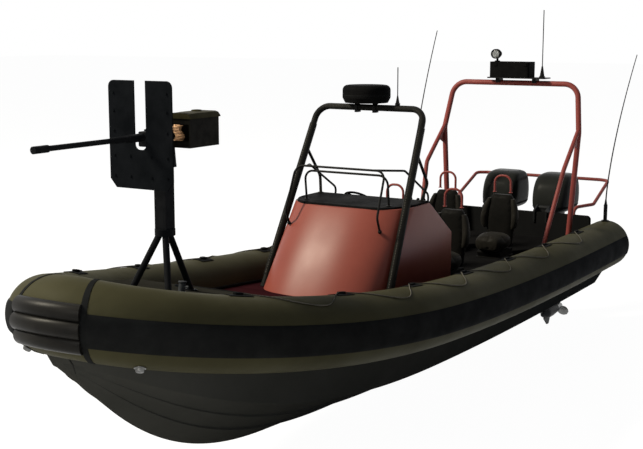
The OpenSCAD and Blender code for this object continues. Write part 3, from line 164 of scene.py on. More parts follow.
class Kit:
    """Builds mesh objects in the row frame and hands them to a body."""

    @staticmethod
    def link(name: str, mesh: bpy.types.Mesh, body: str, slot: str, sharp: float) -> bpy.types.Object:
        """Makes an object of a mesh, smooth up to an angle, that rides on a body.

        Args:
            name: Name of the piece.
            mesh: Its mesh, in the row frame.
            body: CAD body that it moves with.
            slot: Material slot of the record; not used.
            sharp: Angle in degrees above which an edge stays sharp.

        Returns:
            The new object.
        """
        mesh.polygons.foreach_set("use_smooth", [True] * len(mesh.polygons))
        mesh.set_sharp_from_angle(angle=math.radians(sharp))
        obj = bpy.data.objects.new(name, mesh)
        bpy.context.scene.collection.objects.link(obj)
        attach(obj, body)
        return obj

    @staticmethod
    def skin(bm: BMesh, sections: Sequence[Sequence[Vector]]) -> None:
        """Adds a closed skin over rings that each hold the same number of points.

        Args:
            bm: Mesh to add to.
            sections: Rings of points.
        """
        rings = [[bm.verts.new(p) for p in s] for s in sections]
        n = len(rings[0])
        faces = []
        for a, b in zip(rings, rings[1:]):
            for j in range(n):
                k = (j + 1) % n
                faces.append(bm.faces.new((a[j], a[k], b[k], b[j])))
        for ring in (rings[0], rings[-1]):
            faces.append(bm.faces.new(ring))
        bmesh.ops.recalc_face_normals(bm, faces=faces)

    @staticmethod
    def circle(centre: Vector, e: Vector, g: Vector, radius: float, sides: int) -> List[Vector]:
        """Points of a circle in the plane of two unit vectors."""
        turns = [2 * math.pi * k / sides for k in range(sides)]
        return [centre + radius * (e * math.cos(t) + g * math.sin(t)) for t in turns]

    @staticmethod
    def tube(bm: BMesh, route: Sequence[Vector], radius: Union[float, Sequence[float]],
             sides: int) -> None:
        """Adds a round tube along a route without twist.

        Args:
            bm: Mesh to add to.
            route: Points of the centre line.
            radius: One radius, or one for each point.
            sides: Points round the tube.
        """
        dirs = []
        for i in range(len(route)):
            a, b = route[max(0, i - 1)], route[min(len(route) - 1, i + 1)]
            dirs.append((b - a).normalized())
        radii = [radius] * len(route) if isinstance(radius, float) else radius
        e = AHEAD if abs(dirs[0].z) > 0.9 else UP
        sections = []
        for p, u, r in zip(route, dirs, radii):
            e = (e - u * e.dot(u)).normalized()
            sections.append(Kit.circle(p, e, u.cross(e), r, sides))
        Kit.skin(bm, sections)

    @staticmethod
    def turned(bm: BMesh, origin: Vector, axis: Vector, profile: Sequence[Tuple[float, float]],
               sides: int = 32) -> None:
        """Adds a turned solid.

        Args:
            bm: Mesh to add to.
            origin: Start of the axis.
            axis: Direction of the axis.
            profile: Pairs of radius and distance along the axis.
            sides: Points round the axis.
        """
        u = axis.normalized()
        e = AHEAD if abs(u.z) > 0.9 else UP
        e = (e - u * e.dot(u)).normalized()
        g = u.cross(e)
        Kit.skin(bm, [Kit.circle(origin + u * h, e, g, max(r, 1e-4), sides) for r, h in profile])

    @staticmethod
    def block(bm: BMesh, centre: Vector, size: Point, bevel: float,
              turn: Optional[Matrix] = None) -> None:
        """Adds a box with rounded edges.

        Args:
            bm: Mesh to add to.
            centre: Its centre.
            size: Its size along its own axes.
            bevel: Radius of its edges.
            turn: Rotation of its axes.
        """
        part = bmesh.new()
        bmesh.ops.create_cube(part, size=1.0)
        bmesh.ops.scale(part, vec=size, verts=part.verts)
        bmesh.ops.bevel(part, geom=part.edges[:], offset=bevel, segments=3, affect="EDGES", profile=0.5)
        place = Matrix.Translation(centre) @ (turn.to_4x4() if turn else Matrix.Identity(4))
        bmesh.ops.transform(part, matrix=place, verts=part.verts)
        holder = bpy.data.meshes.new("part")
        part.to_mesh(holder)
        part.free()
        bm.from_mesh(holder)
        bpy.data.meshes.remove(holder)

    @staticmethod
    def bolt(bm: BMesh, at: Vector, axis: Vector, radius: float) -> None:
        """Adds a hexagon bolt head on its washer.

        Args:
            bm: Mesh to add to.
            at: Middle of the washer's underside.
            axis: Direction that the bolt faces.
            radius: Radius of the head.
        """
        r = radius
        Kit.turned(bm, at, axis, [(r * 1.5, 0), (r * 1.5, r * 0.22), (r * 1.42, r * 0.3)], 16)
        head_at = at + axis.normalized() * r * 0.28
        Kit.turned(bm, head_at, axis, [(r, 0), (r, r * 0.62), (r * 0.84, r * 0.8)], 6)

    @staticmethod
    def piece(name: str, body: str, slot: str, build: Callable[[BMesh], None],
              sharp: float = 35.0) -> bpy.types.Object:
        """Makes a piece from a function that fills a mesh.

        Args:
            name: Name of the piece.
            body: CAD body that it moves with.
            slot: Material slot; handed on to link, which does not use it.
            build: Adds the geometry.
            sharp: Angle above which an edge stays sharp.

        Returns:
            The new object.
        """
        bm = bmesh.new()
        build(bm)
        mesh = bpy.data.meshes.new(name)
        bm.to_mesh(mesh)
        bm.free()
        return Kit.link(name, mesh, body, slot, sharp)

    @staticmethod
    def skinned(name: str, body: str, slot: str, sections: Sequence[Sequence[Vector]],
                sharp: float = 35.0) -> bpy.types.Object:
        """Makes a piece that is one closed skin over rings."""
        return Kit.piece(name, body, slot, lambda bm: Kit.skin(bm, sections), sharp)


# Finishes


class Graph:
    """Small helper over a node tree."""

    def __init__(self, tree: bpy.types.NodeTree) -> None:
        """Wraps a tree."""
        self.tree = tree

    def node(self, kind: str, **values: Any) -> bpy.types.Node:
        """Adds a node and sets its properties and sockets.

        Args:
            kind: Blender's node type.
            **values: Properties by name, or sockets by name with underscores for spaces.

        Returns:
            The node.
        """
        made = self.tree.nodes.new(kind)
        for key, value in values.items():
            if hasattr(made, key):
                setattr(made, key, value)
            else:
                made.inputs[key.replace("_", " ")].default_value = value
        return made

    def link(self, source: Socket, target: Socket) -> None:
        """Joins two sockets."""
        self.tree.links.new(source, target)

    def group(self, tree: bpy.types.NodeTree, **values: Any) -> bpy.types.Node:
        """Adds a shared group with its sockets set."""
        return self.node("ShaderNodeGroup", node_tree=tree, **values)

    def spread(self, source: Socket, low: float, high: float) -> Socket:
        """Maps a value from 0..1 to a range.

        Args:
            source: Value.
            low: What 0 becomes.
            high: What 1 becomes.

        Returns:
            The new value.
        """
        made = self.node("ShaderNodeMapRange", To_Min=low, To_Max=high)
        self.link(source, made.inputs["Value"])
        return made.outputs["Result"]

    def surroundings(self) -> Socket:
        """Masks the rays that show the surroundings: from the camera, off gloss and through glass.

        Returns:
            The mask.
        """
        path = self.node("ShaderNodeLightPath")
        mask = path.outputs["Is Camera Ray"]
        for name in ("Is Glossy Ray", "Is Transmission Ray"):
            either = self.node("ShaderNodeMath", operation="MAXIMUM")
            self.link(mask, either.inputs[0])
            self.link(path.outputs[name], either.inputs[1])
            mask = either.outputs[0]
        return mask

    def bump(self, height: Socket, strength: float, distance: float,
             below: Optional[Socket] = None) -> Socket:
        """Turns a height into a normal, on top of another one.

        Args:
            height: Height from 0 to 1.
            strength: Share of the effect.
            distance: Height of 1, in metres.
            below: Normal under it.

        Returns:
            The normal.
        """
        made = self.node("ShaderNodeBump", Strength=strength, Distance=distance)
        self.link(height, made.inputs["Height"])
        if below is not None:
            self.link(below, made.inputs["Normal"])
        return made.outputs["Normal"]


class Effects:
    """Node groups that several finishes share."""

    _made: Dict[str, bpy.types.NodeTree] = {}

    @classmethod
    def _new(cls, name: str, inputs: Dict[str, str],
             outputs: Dict[str, str]) -> Tuple[Graph, bpy.types.Node, bpy.types.Node]:
        """Starts a group.

        Args:
            name: Name of the group.
            inputs: Kinds of its inputs by name: Vector, Float or Color.
            outputs: Kinds of its outputs by name.

        Returns:
            Its graph, and the nodes for its inputs and outputs.
        """
        tree = bpy.data.node_groups.new(name, "ShaderNodeTree")
        for way, sockets in (("INPUT", inputs), ("OUTPUT", outputs)):
            for label, kind in sockets.items():
                tree.interface.new_socket(name=label, in_out=way, socket_type="NodeSocket" + kind)
        cls._made[name] = tree
        g = Graph(tree)
        return g, g.node("NodeGroupInput"), g.node("NodeGroupOutput")

    @classmethod
    def drift(cls) -> bpy.types.NodeTree:
        """Makes a slow change between two tones, with smaller mottling inside it.

        Returns:
            The group, made on first use.
        """
        if "tone_drift" not in cls._made:
            inputs = {"Vector": "Vector", "Scale": "Float", "Dark": "Color", "Light": "Color"}
            g, src, out = cls._new("tone_drift", inputs, {"Color": "Color", "Mask": "Float"})
            broad = g.node("ShaderNodeTexNoise", Detail=4.0, Roughness=0.62)
            g.link(src.outputs["Vector"], broad.inputs["Vector"])
            g.link(src.outputs["Scale"], broad.inputs["Scale"])
            clear = g.node("ShaderNodeMapRange", From_Min=0.32, From_Max=0.68)
            g.link(broad.outputs["Fac"], clear.inputs["Value"])
            blend = g.node("ShaderNodeMix", data_type="RGBA")
            g.link(clear.outputs["Result"], blend.inputs["Factor"])
            g.link(src.outputs["Dark"], blend.inputs[6])
            g.link(src.outputs["Light"], blend.inputs[7])
            g.link(blend.outputs[2], out.inputs["Color"])
            g.link(clear.outputs["Result"], out.inputs["Mask"])
        return cls._made["tone_drift"]

    @classmethod
    def grain(cls) -> bpy.types.NodeTree:
        """Makes the height of a pebbled skin: cells with noise over them.

        Returns:
            The group, made on first use.
        """
        if "pebble_grain" not in cls._made:
            inputs = {"Vector": "Vector", "Scale": "Float"}
            g, src, out = cls._new("pebble_grain", inputs, {"Height": "Float"})
            cells = g.node("ShaderNodeTexVoronoi", feature="SMOOTH_F1", Smoothness=0.6)
            fine = g.node("ShaderNodeTexNoise", Detail=3.0)
            for target in (cells, fine):
                g.link(src.outputs["Vector"], target.inputs["Vector"])
                g.link(src.outputs["Scale"], target.inputs["Scale"])
            both = g.node("ShaderNodeMath", operation="ADD")
            g.link(cells.outputs["Distance"], both.inputs[0])
            g.link(fine.outputs["Fac"], both.inputs[1])
            g.link(both.outputs[0], out.inputs["Height"])
        return cls._made["pebble_grain"]

    @classmethod
    def scuffs(cls) -> bpy.types.NodeTree:
        """Makes a mask of sparse scratches and rubs, drawn out along X.

        Returns:
            The group, made on first use.
        """
        if "scuff_mask" not in cls._made:
            inputs = {"Vector": "Vector", "Scale": "Float", "Threshold": "Float"}
            g, src, out = cls._new("scuff_mask", inputs, {"Mask": "Float"})
            stretch = g.node("ShaderNodeVectorMath", operation="MULTIPLY")
            stretch.inputs[1].default_value = (0.22, 1.0, 1.0)
            g.link(src.outputs["Vector"], stretch.inputs[0])
            noise = g.node("ShaderNodeTexNoise", Detail=6.0, Roughness=0.7)
            g.link(stretch.outputs[0], noise.inputs["Vector"])
            g.link(src.outputs["Scale"], noise.inputs["Scale"])
            cut = g.node("ShaderNodeMapRange", From_Max=0.9)
            g.link(noise.outputs["Fac"], cut.inputs["Value"])
            g.link(src.outputs["Threshold"], cut.inputs["From Min"])
            g.link(cut.outputs["Result"], out.inputs["Mask"])
        return cls._made["scuff_mask"]

    @classmethod
    def weave(cls) -> bpy.types.NodeTree:
        """Makes the height of a plain weave under a thin coating.

        Returns:
            The group, made on first use.
        """
        if "plain_weave" not in cls._made:
            inputs = {"Vector": "Vector", "Scale": "Float"}
            g, src, out = cls._new("plain_weave", inputs, {"Height": "Float"})
            parts = []
            for axis in ("X", "Z"):
                wave = g.node("ShaderNodeTexWave", bands_direction=axis, wave_profile="SIN")
                g.link(src.outputs["Vector"], wave.inputs["Vector"])
                g.link(src.outputs["Scale"], wave.inputs["Scale"])
                parts.append(wave)
            both = g.node("ShaderNodeMath", operation="MULTIPLY")
            g.link(parts[0].outputs["Fac"], both.inputs[0])
            g.link(parts[1].outputs["Fac"], both.inputs[1])
            g.link(both.outputs[0], out.inputs["Height"])
        return cls._made["plain_weave"]


class Layers(NamedTuple):
    """What a finish has when it adds its own pattern."""

    g: Graph
    shader: bpy.types.Node
    where: Socket
    colour: Socket
    normal: Socket


@dataclass(frozen=True)
class Grain:
    """Pebbled relief: its scale, its height in metres and its share."""

    scale: float = 420.0
    depth: float = 0.0004
    strength: float = 0.25


@dataclass(frozen=True)
class Scuff:
    """Sparse rubs: their tone, their scale and the level of the mask from which they show."""

    tone: RGB
    scale: float = 9.0
    start: float = 0.62


@dataclass(frozen=True)
class Finish:
    """A painted or moulded surface: two tones that drift, a grain and a spread of roughness."""

    name: str
    dark: RGB
    light: RGB
    rough: Tuple[float, float] = (0.45, 0.6)
    drift_scale: float = 2.2
    grain: Grain = Grain()
    metallic: float = 0.0
    specular: float = 0.35
    scuff: Optional[Scuff] = None

    def material(self) -> bpy.types.Material:
        """Returns the material, made on first use."""
        found = bpy.data.materials.get(self.name)
        return found if found else self._build()

    def _build(self) -> bpy.types.Material:
        """Makes the material.

        Returns:
            The material.
        """
        made = bpy.data.materials.new(self.name)
        made.use_nodes = True
        tree = made.node_tree
        tree.nodes.clear()
        g = Graph(tree)
        shader = g.node("ShaderNodeBsdfPrincipled", Metallic=self.metallic, Specular_IOR_Level=self.specular)
        out = g.node("ShaderNodeOutputMaterial")
        g.link(shader.outputs["BSDF"], out.inputs["Surface"])
        place = g.node("ShaderNodeTexCoord")
        where = place.outputs["Object"]
        drift = g.group(Effects.drift(), Scale=self.drift_scale, Dark=(*self.dark, 1), Light=(*self.light, 1))
        g.link(where, drift.inputs["Vector"])
        colour = drift.outputs["Color"]
        if self.scuff:
            worn = g.group(Effects.scuffs(), Scale=self.scuff.scale, Threshold=self.scuff.start)
            g.link(where, worn.inputs["Vector"])
            over = g.node("ShaderNodeMix", data_type="RGBA")
            over.inputs[7].default_value = (*self.scuff.tone, 1)
            g.link(worn.outputs["Mask"], over.inputs["Factor"])
            g.link(colour, over.inputs[6])
            colour = over.outputs[2]
        grain = g.group(Effects.grain(), Scale=self.grain.scale)
        g.link(where, grain.inputs["Vector"])
        normal = g.bump(grain.outputs["Height"], self.grain.strength, self.grain.depth)
        g.link(g.spread(drift.outputs["Mask"], self.rough[1], self.rough[0]), shader.inputs["Roughness"])
        self.detail(Layers(g, shader, where, colour, normal))
        return made

    def detail(self, on: Layers) -> None:
        """Joins colour and normal to the shader; finishes with a pattern of their own add it here.

        Args:
            on: What the finish has so far.
        """
        g, shader = on.g, on.shader
        g.link(on.colour, shader.inputs["Base Color"])
        g.link(on.normal, shader.inputs["Normal"])


@dataclass(frozen=True)
class CoatedFabric(Finish):
    """Coated tube fabric: a weave prints through, and faint grime stains are scattered over it."""

    grime: RGB = (0.03, 0.03, 0.02)
    weave_scale: float = 160.0
    grime_scale: float = 3.2
    grime_share: float = 0.35

    def detail(self, on: Layers) -> None:
        """Adds the weave and faint grime.

        Args:
            on: What the finish has so far.
        """
        g, shader = on.g, on.shader
        weave = g.group(Effects.weave(), Scale=self.weave_scale)
        g.link(on.where, weave.inputs["Vector"])
        stains = g.group(Effects.scuffs(), Scale=self.grime_scale, Threshold=0.55)
        g.link(on.where, stains.inputs["Vector"])
        over = g.node("ShaderNodeMix", data_type="RGBA")
        over.inputs[7].default_value = (*self.grime, 1)
        g.link(g.spread(stains.outputs["Mask"], 0.0, self.grime_share), over.inputs["Factor"])
        g.link(on.colour, over.inputs[6])
        g.link(over.outputs[2], shader.inputs["Base Color"])
        g.link(g.bump(weave.outputs["Height"], 0.18, 0.0006, on.normal), shader.inputs["Normal"])


@dataclass(frozen=True)
class GripDeck(Finish):
    """Moulded deck with a raised diamond tread."""

    pitch: float = 38.0

    def detail(self, on: Layers) -> None:
        """Adds the tread and darkens its valleys.

        Args:
            on: What the finish has so far.
        """
        g, shader = on.g, on.shader
        turn = g.node("ShaderNodeMapping", Rotation=(0, 0, math.radians(45)))
        g.link(on.where, turn.inputs["Vector"])
        cells = g.node("ShaderNodeTexVoronoi", distance="CHEBYCHEV", Scale=self.pitch, Randomness=0.0)
        g.link(turn.outputs["Vector"], cells.inputs["Vector"])
        stud = g.node("ShaderNodeMapRange", From_Min=0.40, From_Max=0.30)
        g.link(cells.outputs["Distance"], stud.inputs["Value"])
        shade = g.node("ShaderNodeMix", data_type="RGBA", blend_type="MULTIPLY")
        shade.inputs[7].default_value = (0.72, 0.72, 0.72, 1)
        g.link(g.spread(stud.outputs["Result"], 1.0, 0.0), shade.inputs["Factor"])
        g.link(on.colour, shade.inputs[6])
        g.link(shade.outputs[2], shader.inputs["Base Color"])
        g.link(g.bump(stud.outputs["Result"], 0.6, 0.0025, on.normal), shader.inputs["Normal"])


@dataclass(frozen=True)
class WrappedTube(Finish):
    """Tube wrapped in grip tape: fine turns that catch the light as rows of dots."""

    turns: float = 26.0

    def detail(self, on: Layers) -> None:
        """Adds the turns of the wrap.

        Args:
            on: What the finish has so far.
        """
        g, shader = on.g, on.shader
        wave = g.node("ShaderNodeTexWave", bands_direction="Z", Scale=self.turns, Distortion=1.2, Detail=1.0)
        g.link(on.where, wave.inputs["Vector"])
        g.link(on.colour, shader.inputs["Base Color"])
        g.link(g.bump(wave.outputs["Fac"], 0.55, 0.004, on.normal), shader.inputs["Normal"])


@dataclass(frozen=True)
class Upholstery(Finish):
    """Marine vinyl: leather grain with a soft sheen."""

    def detail(self, on: Layers) -> None:
        """Adds creases under the grain.

        Args:
            on: What the finish has so far.
        """
        g, shader = on.g, on.shader
        creases = g.node("ShaderNodeTexNoise", Scale=26.0, Detail=5.0, Roughness=0.65)
        g.link(on.where, creases.inputs["Vector"])
        shader.inputs["Sheen Weight"].default_value = 0.03
        g.link(on.colour, shader.inputs["Base Color"])
        g.link(g.bump(creases.outputs["Fac"], 0.3, 0.004, on.normal), shader.inputs["Normal"])


@dataclass(frozen=True)
class TwistedRope(Finish):
    """Laid rope: strands twist round the line."""

    def detail(self, on: Layers) -> None:
        """Adds the lay of the strands.

        Args:
            on: What the finish has so far.
        """
        g, shader = on.g, on.shader
        wave = g.node("ShaderNodeTexWave", bands_direction="DIAGONAL", Scale=55.0, Distortion=0.6)
        g.link(on.where, wave.inputs["Vector"])
        shade = g.node("ShaderNodeMix", data_type="RGBA", blend_type="MULTIPLY")
        shade.inputs[7].default_value = (0.5, 0.48, 0.45, 1)
        g.link(wave.outputs["Fac"], shade.inputs["Factor"])
        g.link(on.colour, shade.inputs[6])
        g.link(shade.outputs[2], shader.inputs["Base Color"])
        g.link(g.bump(wave.outputs["Fac"], 0.7, 0.003, on.normal), shader.inputs["Normal"])


@dataclass(frozen=True)
class ClearLens(Finish):
    """Lamp glass with faint ribs."""

    def detail(self, on: Layers) -> None:
        """Makes the surface glassy.

        Args:
            on: What the finish has so far.
        """
        g, shader = on.g, on.shader
        shader.inputs["Transmission Weight"].default_value = 0.75
        shader.inputs["IOR"].default_value = 1.46
        g.link(on.colour, shader.inputs["Base Color"])
        g.link(on.normal, shader.inputs["Normal"])


class Finishes:
    """All finishes of the boat."""

    TUBE = CoatedFabric(
        "olive_tube_fabric", (0.036, 0.0345, 0.0195), (0.049, 0.047, 0.0265), rough=(0.5, 0.64),
        drift_scale=0.9, specular=0.02, grime=(0.018, 0.018, 0.012))
    RUBBER = Finish(
        "strake_rubber", (0.0085, 0.0092, 0.0100), (0.014, 0.0150, 0.0160), rough=(0.55, 0.72),
        drift_scale=3.0, grain=Grain(300.0, 0.0006, 0.35), specular=0.004,
        scuff=Scuff((0.018, 0.0175, 0.017), start=0.66))
    FENDER = Finish(
        "fender_rubber", (0.0085, 0.0082, 0.0078), (0.014, 0.0133, 0.0125), rough=(0.30, 0.40),
        drift_scale=3.0, grain=Grain(260.0, 0.0006, 0.3), specular=0.06,
        scuff=Scuff((0.024, 0.022, 0.020), start=0.70))
    HULL = Finish(
        "grey_hull_gelcoat", (0.026, 0.0275, 0.0275), (0.036, 0.0375, 0.0375), rough=(0.38, 0.5),
        drift_scale=0.7, grain=Grain(60.0, 0.0003, 0.08), specular=0,
        scuff=Scuff((0.022, 0.022, 0.021), scale=2.2, start=0.64))
    DECK = GripDeck(
        "grey_grip_deck", (0.008, 0.008, 0.009), (0.014, 0.014, 0.015), rough=(0.6, 0.78), drift_scale=1.4,
        specular=0)
    LOCKER = Finish(
        "grey_locker_deck", (0.018, 0.018, 0.0165), (0.027, 0.027, 0.0245), rough=(0.5, 0.7),
        drift_scale=1.6, grain=Grain(240.0, 0.0012, 0.5), specular=0,
        scuff=Scuff((0.011, 0.011, 0.011), scale=5.0))
    TRANSOM = Finish(
        "grey_transom", (0.008, 0.0083, 0.009), (0.013, 0.0133, 0.014), rough=(0.45, 0.62), drift_scale=1.4,
        grain=Grain(320.0, 0.0008, 0.3), specular=0)
    RED_DECK = GripDeck(
        "red_grip_deck", (0.024, 0.0065, 0.009), (0.034, 0.009, 0.0125), rough=(0.55, 0.72),
        drift_scale=1.4, specular=0)
    CONSOLE = Finish(
        "red_gelcoat", (0.205, 0.050, 0.038), (0.240, 0.062, 0.047), rough=(0.31, 0.37), drift_scale=1.3,
        grain=Grain(90.0, 0.0003, 0.10), specular=0.13,
        scuff=Scuff((0.165, 0.045, 0.037), scale=6.0, start=0.66))
    PANEL = Finish(
        "satin_panel", (0.0045, 0.0045, 0.005), (0.0085, 0.0085, 0.009), rough=(0.45, 0.6), drift_scale=3.0,
        grain=Grain(520.0, 0.0005, 0.4), specular=0.004)
    WRAP = WrappedTube(
        "black_wrapped_tube", (0.007, 0.007, 0.0065), (0.013, 0.0125, 0.011), rough=(0.36, 0.5),
        drift_scale=4.0, specular=0.05)
    BLACK_TUBE = Finish(
        "black_tube_paint", (0.006, 0.006, 0.006), (0.011, 0.011, 0.011), rough=(0.36, 0.5),
        drift_scale=5.0, grain=Grain(300.0, 0.0003, 0.15), specular=0.05,
        scuff=Scuff((0.03, 0.03, 0.03), start=0.72))
    RED_TUBE = Finish(
        "red_powder_coat", (0.19, 0.040, 0.036), (0.24, 0.055, 0.050), rough=(0.34, 0.48), drift_scale=3.5,
        grain=Grain(380.0, 0.0004, 0.2), specular=0.12, scuff=Scuff((0.18, 0.05, 0.045), start=0.68))
    VINYL_DARK = Upholstery(
        "dark_vinyl", (0.0035, 0.0034, 0.003), (0.007, 0.0066, 0.006), rough=(0.46, 0.6), drift_scale=4.0,
        grain=Grain(300.0, 0.0008, 0.4), specular=0.03)
    VINYL_LIGHT = Upholstery(
        "bolster_vinyl", (0.009, 0.0082, 0.007), (0.015, 0.0138, 0.0115), rough=(0.44, 0.58),
        drift_scale=4.0, grain=Grain(300.0, 0.0008, 0.4), specular=0.03)
    POD = Finish(
        "seat_pod_plastic", (0.006, 0.006, 0.006), (0.010, 0.010, 0.010), rough=(0.5, 0.66),
        drift_scale=4.0, grain=Grain(420.0, 0.0006, 0.4), specular=0.02)
    MOTOR = Finish(
        "motor_paint", (0.010, 0.0105, 0.0115), (0.017, 0.018, 0.019), rough=(0.34, 0.48), drift_scale=3.0,
        grain=Grain(260.0, 0.0004, 0.15), specular=0.06, scuff=Scuff((0.05, 0.05, 0.05), start=0.72))
    COWL = Finish(
        "cowl_lacquer", (0.014, 0.0152, 0.0148), (0.021, 0.0225, 0.0218), rough=(0.26, 0.36),
        drift_scale=2.0, grain=Grain(900.0, 0.0002, 0.06), specular=0.02)
    METAL = Finish(
        "bright_metal", (0.11, 0.11, 0.107), (0.18, 0.18, 0.175), rough=(0.28, 0.42), drift_scale=9.0,
        grain=Grain(160.0, 0.0003, 0.15), metallic=1.0,
        scuff=Scuff((0.08, 0.08, 0.078), scale=30.0, start=0.6))
    ENGINE = Finish(
        "cast_block", (0.16, 0.16, 0.16), (0.24, 0.24, 0.23), rough=(0.45, 0.6), drift_scale=9.0,
        grain=Grain(180.0, 0.001, 0.4), metallic=0.8)
    GUN = Finish(
        "phosphate_steel", (0.0048, 0.0053, 0.0064), (0.0095, 0.0102, 0.0118), rough=(0.4, 0.56),
        drift_scale=8.0, grain=Grain(520.0, 0.0005, 0.35), specular=0.02,
        scuff=Scuff((0.03, 0.031, 0.034), scale=26.0, start=0.70))
    SHIELD = Finish(
        "worn_shield_paint", (0.0032, 0.0039, 0.0050), (0.0064, 0.0074, 0.0092), rough=(0.55, 0.7),
        drift_scale=5.0, grain=Grain(260.0, 0.0006, 0.35), specular=0.008,
        scuff=Scuff((0.017, 0.019, 0.022), scale=14.0, start=0.64))
    OLIVE = Finish(
        "olive_box_paint", (0.018, 0.016, 0.007), (0.028, 0.025, 0.0105), rough=(0.5, 0.66),
        drift_scale=9.0, grain=Grain(240.0, 0.0005, 0.3), specular=0.05,
        scuff=Scuff((0.02, 0.018, 0.013), scale=30.0, start=0.62))
    # Painted shade: the ammunition box's own olive paint is darkened to near black for the shade on its
    # sides; the lid keeps the lit olive.
    BOX = Finish(
        "box_side_paint", (0.0045, 0.0045, 0.004), (0.010, 0.0095, 0.008), rough=(0.5, 0.66),
        drift_scale=12.0, grain=Grain(240.0, 0.0005, 0.3), specular=0.03,
        scuff=Scuff((0.05, 0.044, 0.024), scale=26.0, start=0.62))
    BRASS = Finish(
        "cartridge_brass", (0.20, 0.115, 0.065), (0.31, 0.19, 0.11), rough=(0.26, 0.4), drift_scale=30.0,
        grain=Grain(200.0, 0.0002, 0.1), metallic=0.9)
    ROPE = TwistedRope(
        "grab_rope", (0.115, 0.112, 0.10), (0.18, 0.174, 0.158), rough=(0.7, 0.85), drift_scale=6.0,
        grain=Grain(500.0, 0.0004, 0.3), specular=0.04)
    LENS = ClearLens(
        "lamp_glass", (0.62, 0.65, 0.68), (0.74, 0.77, 0.79), rough=(0.05, 0.12), drift_scale=6.0,
        grain=Grain(90.0, 0.0004, 0.2))
    SCREEN = Finish(
        "screen_glass", (0.004, 0.005, 0.006), (0.006, 0.008, 0.010), rough=(0.06, 0.12), drift_scale=5.0,
        grain=Grain(90.0, 0.0001, 0.03), specular=0.3)
    BITT = Finish(
        "galvanised_bitt", (0.042, 0.046, 0.053), (0.064, 0.070, 0.079), rough=(0.4, 0.55),
        drift_scale=14.0, grain=Grain(160.0, 0.0006, 0.3), specular=0.03)


def dress(obj: bpy.types.Object, *finishes: Finish) -> bpy.types.Object:
    """Gives an object its finishes, one for each material slot.

    Args:
        obj: Piece or CAD node.
        *finishes: Finishes in slot order.

    Returns:
        The object.
    """
    obj.data.materials.clear()
    for finish in finishes:
        obj.data.materials.append(finish.material())
    return obj


# Stage


@dataclass(frozen=True)
class Lamp:
    """Soft lamp: its place, what it points at, its width and height, power in watts and colour."""

    name: str
    place: Point
    target: Point
    size: Tuple[float, float]
    power: float
    colour: RGB

    def build(self) -> None:
        """Makes the lamp."""
        data = bpy.data.lights.new(self.name, "AREA")
        data.shape = "ELLIPSE"
        data.size, data.size_y = self.size
        data.energy = self.power
        data.color = self.colour
        lamp = bpy.data.objects.new(self.name, data)
        bpy.context.scene.collection.objects.link(lamp)
        lamp.location = self.place
        aim = Vector(self.target) - Vector(self.place)
        lamp.rotation_euler = aim.to_track_quat("-Z", "Y").to_euler()


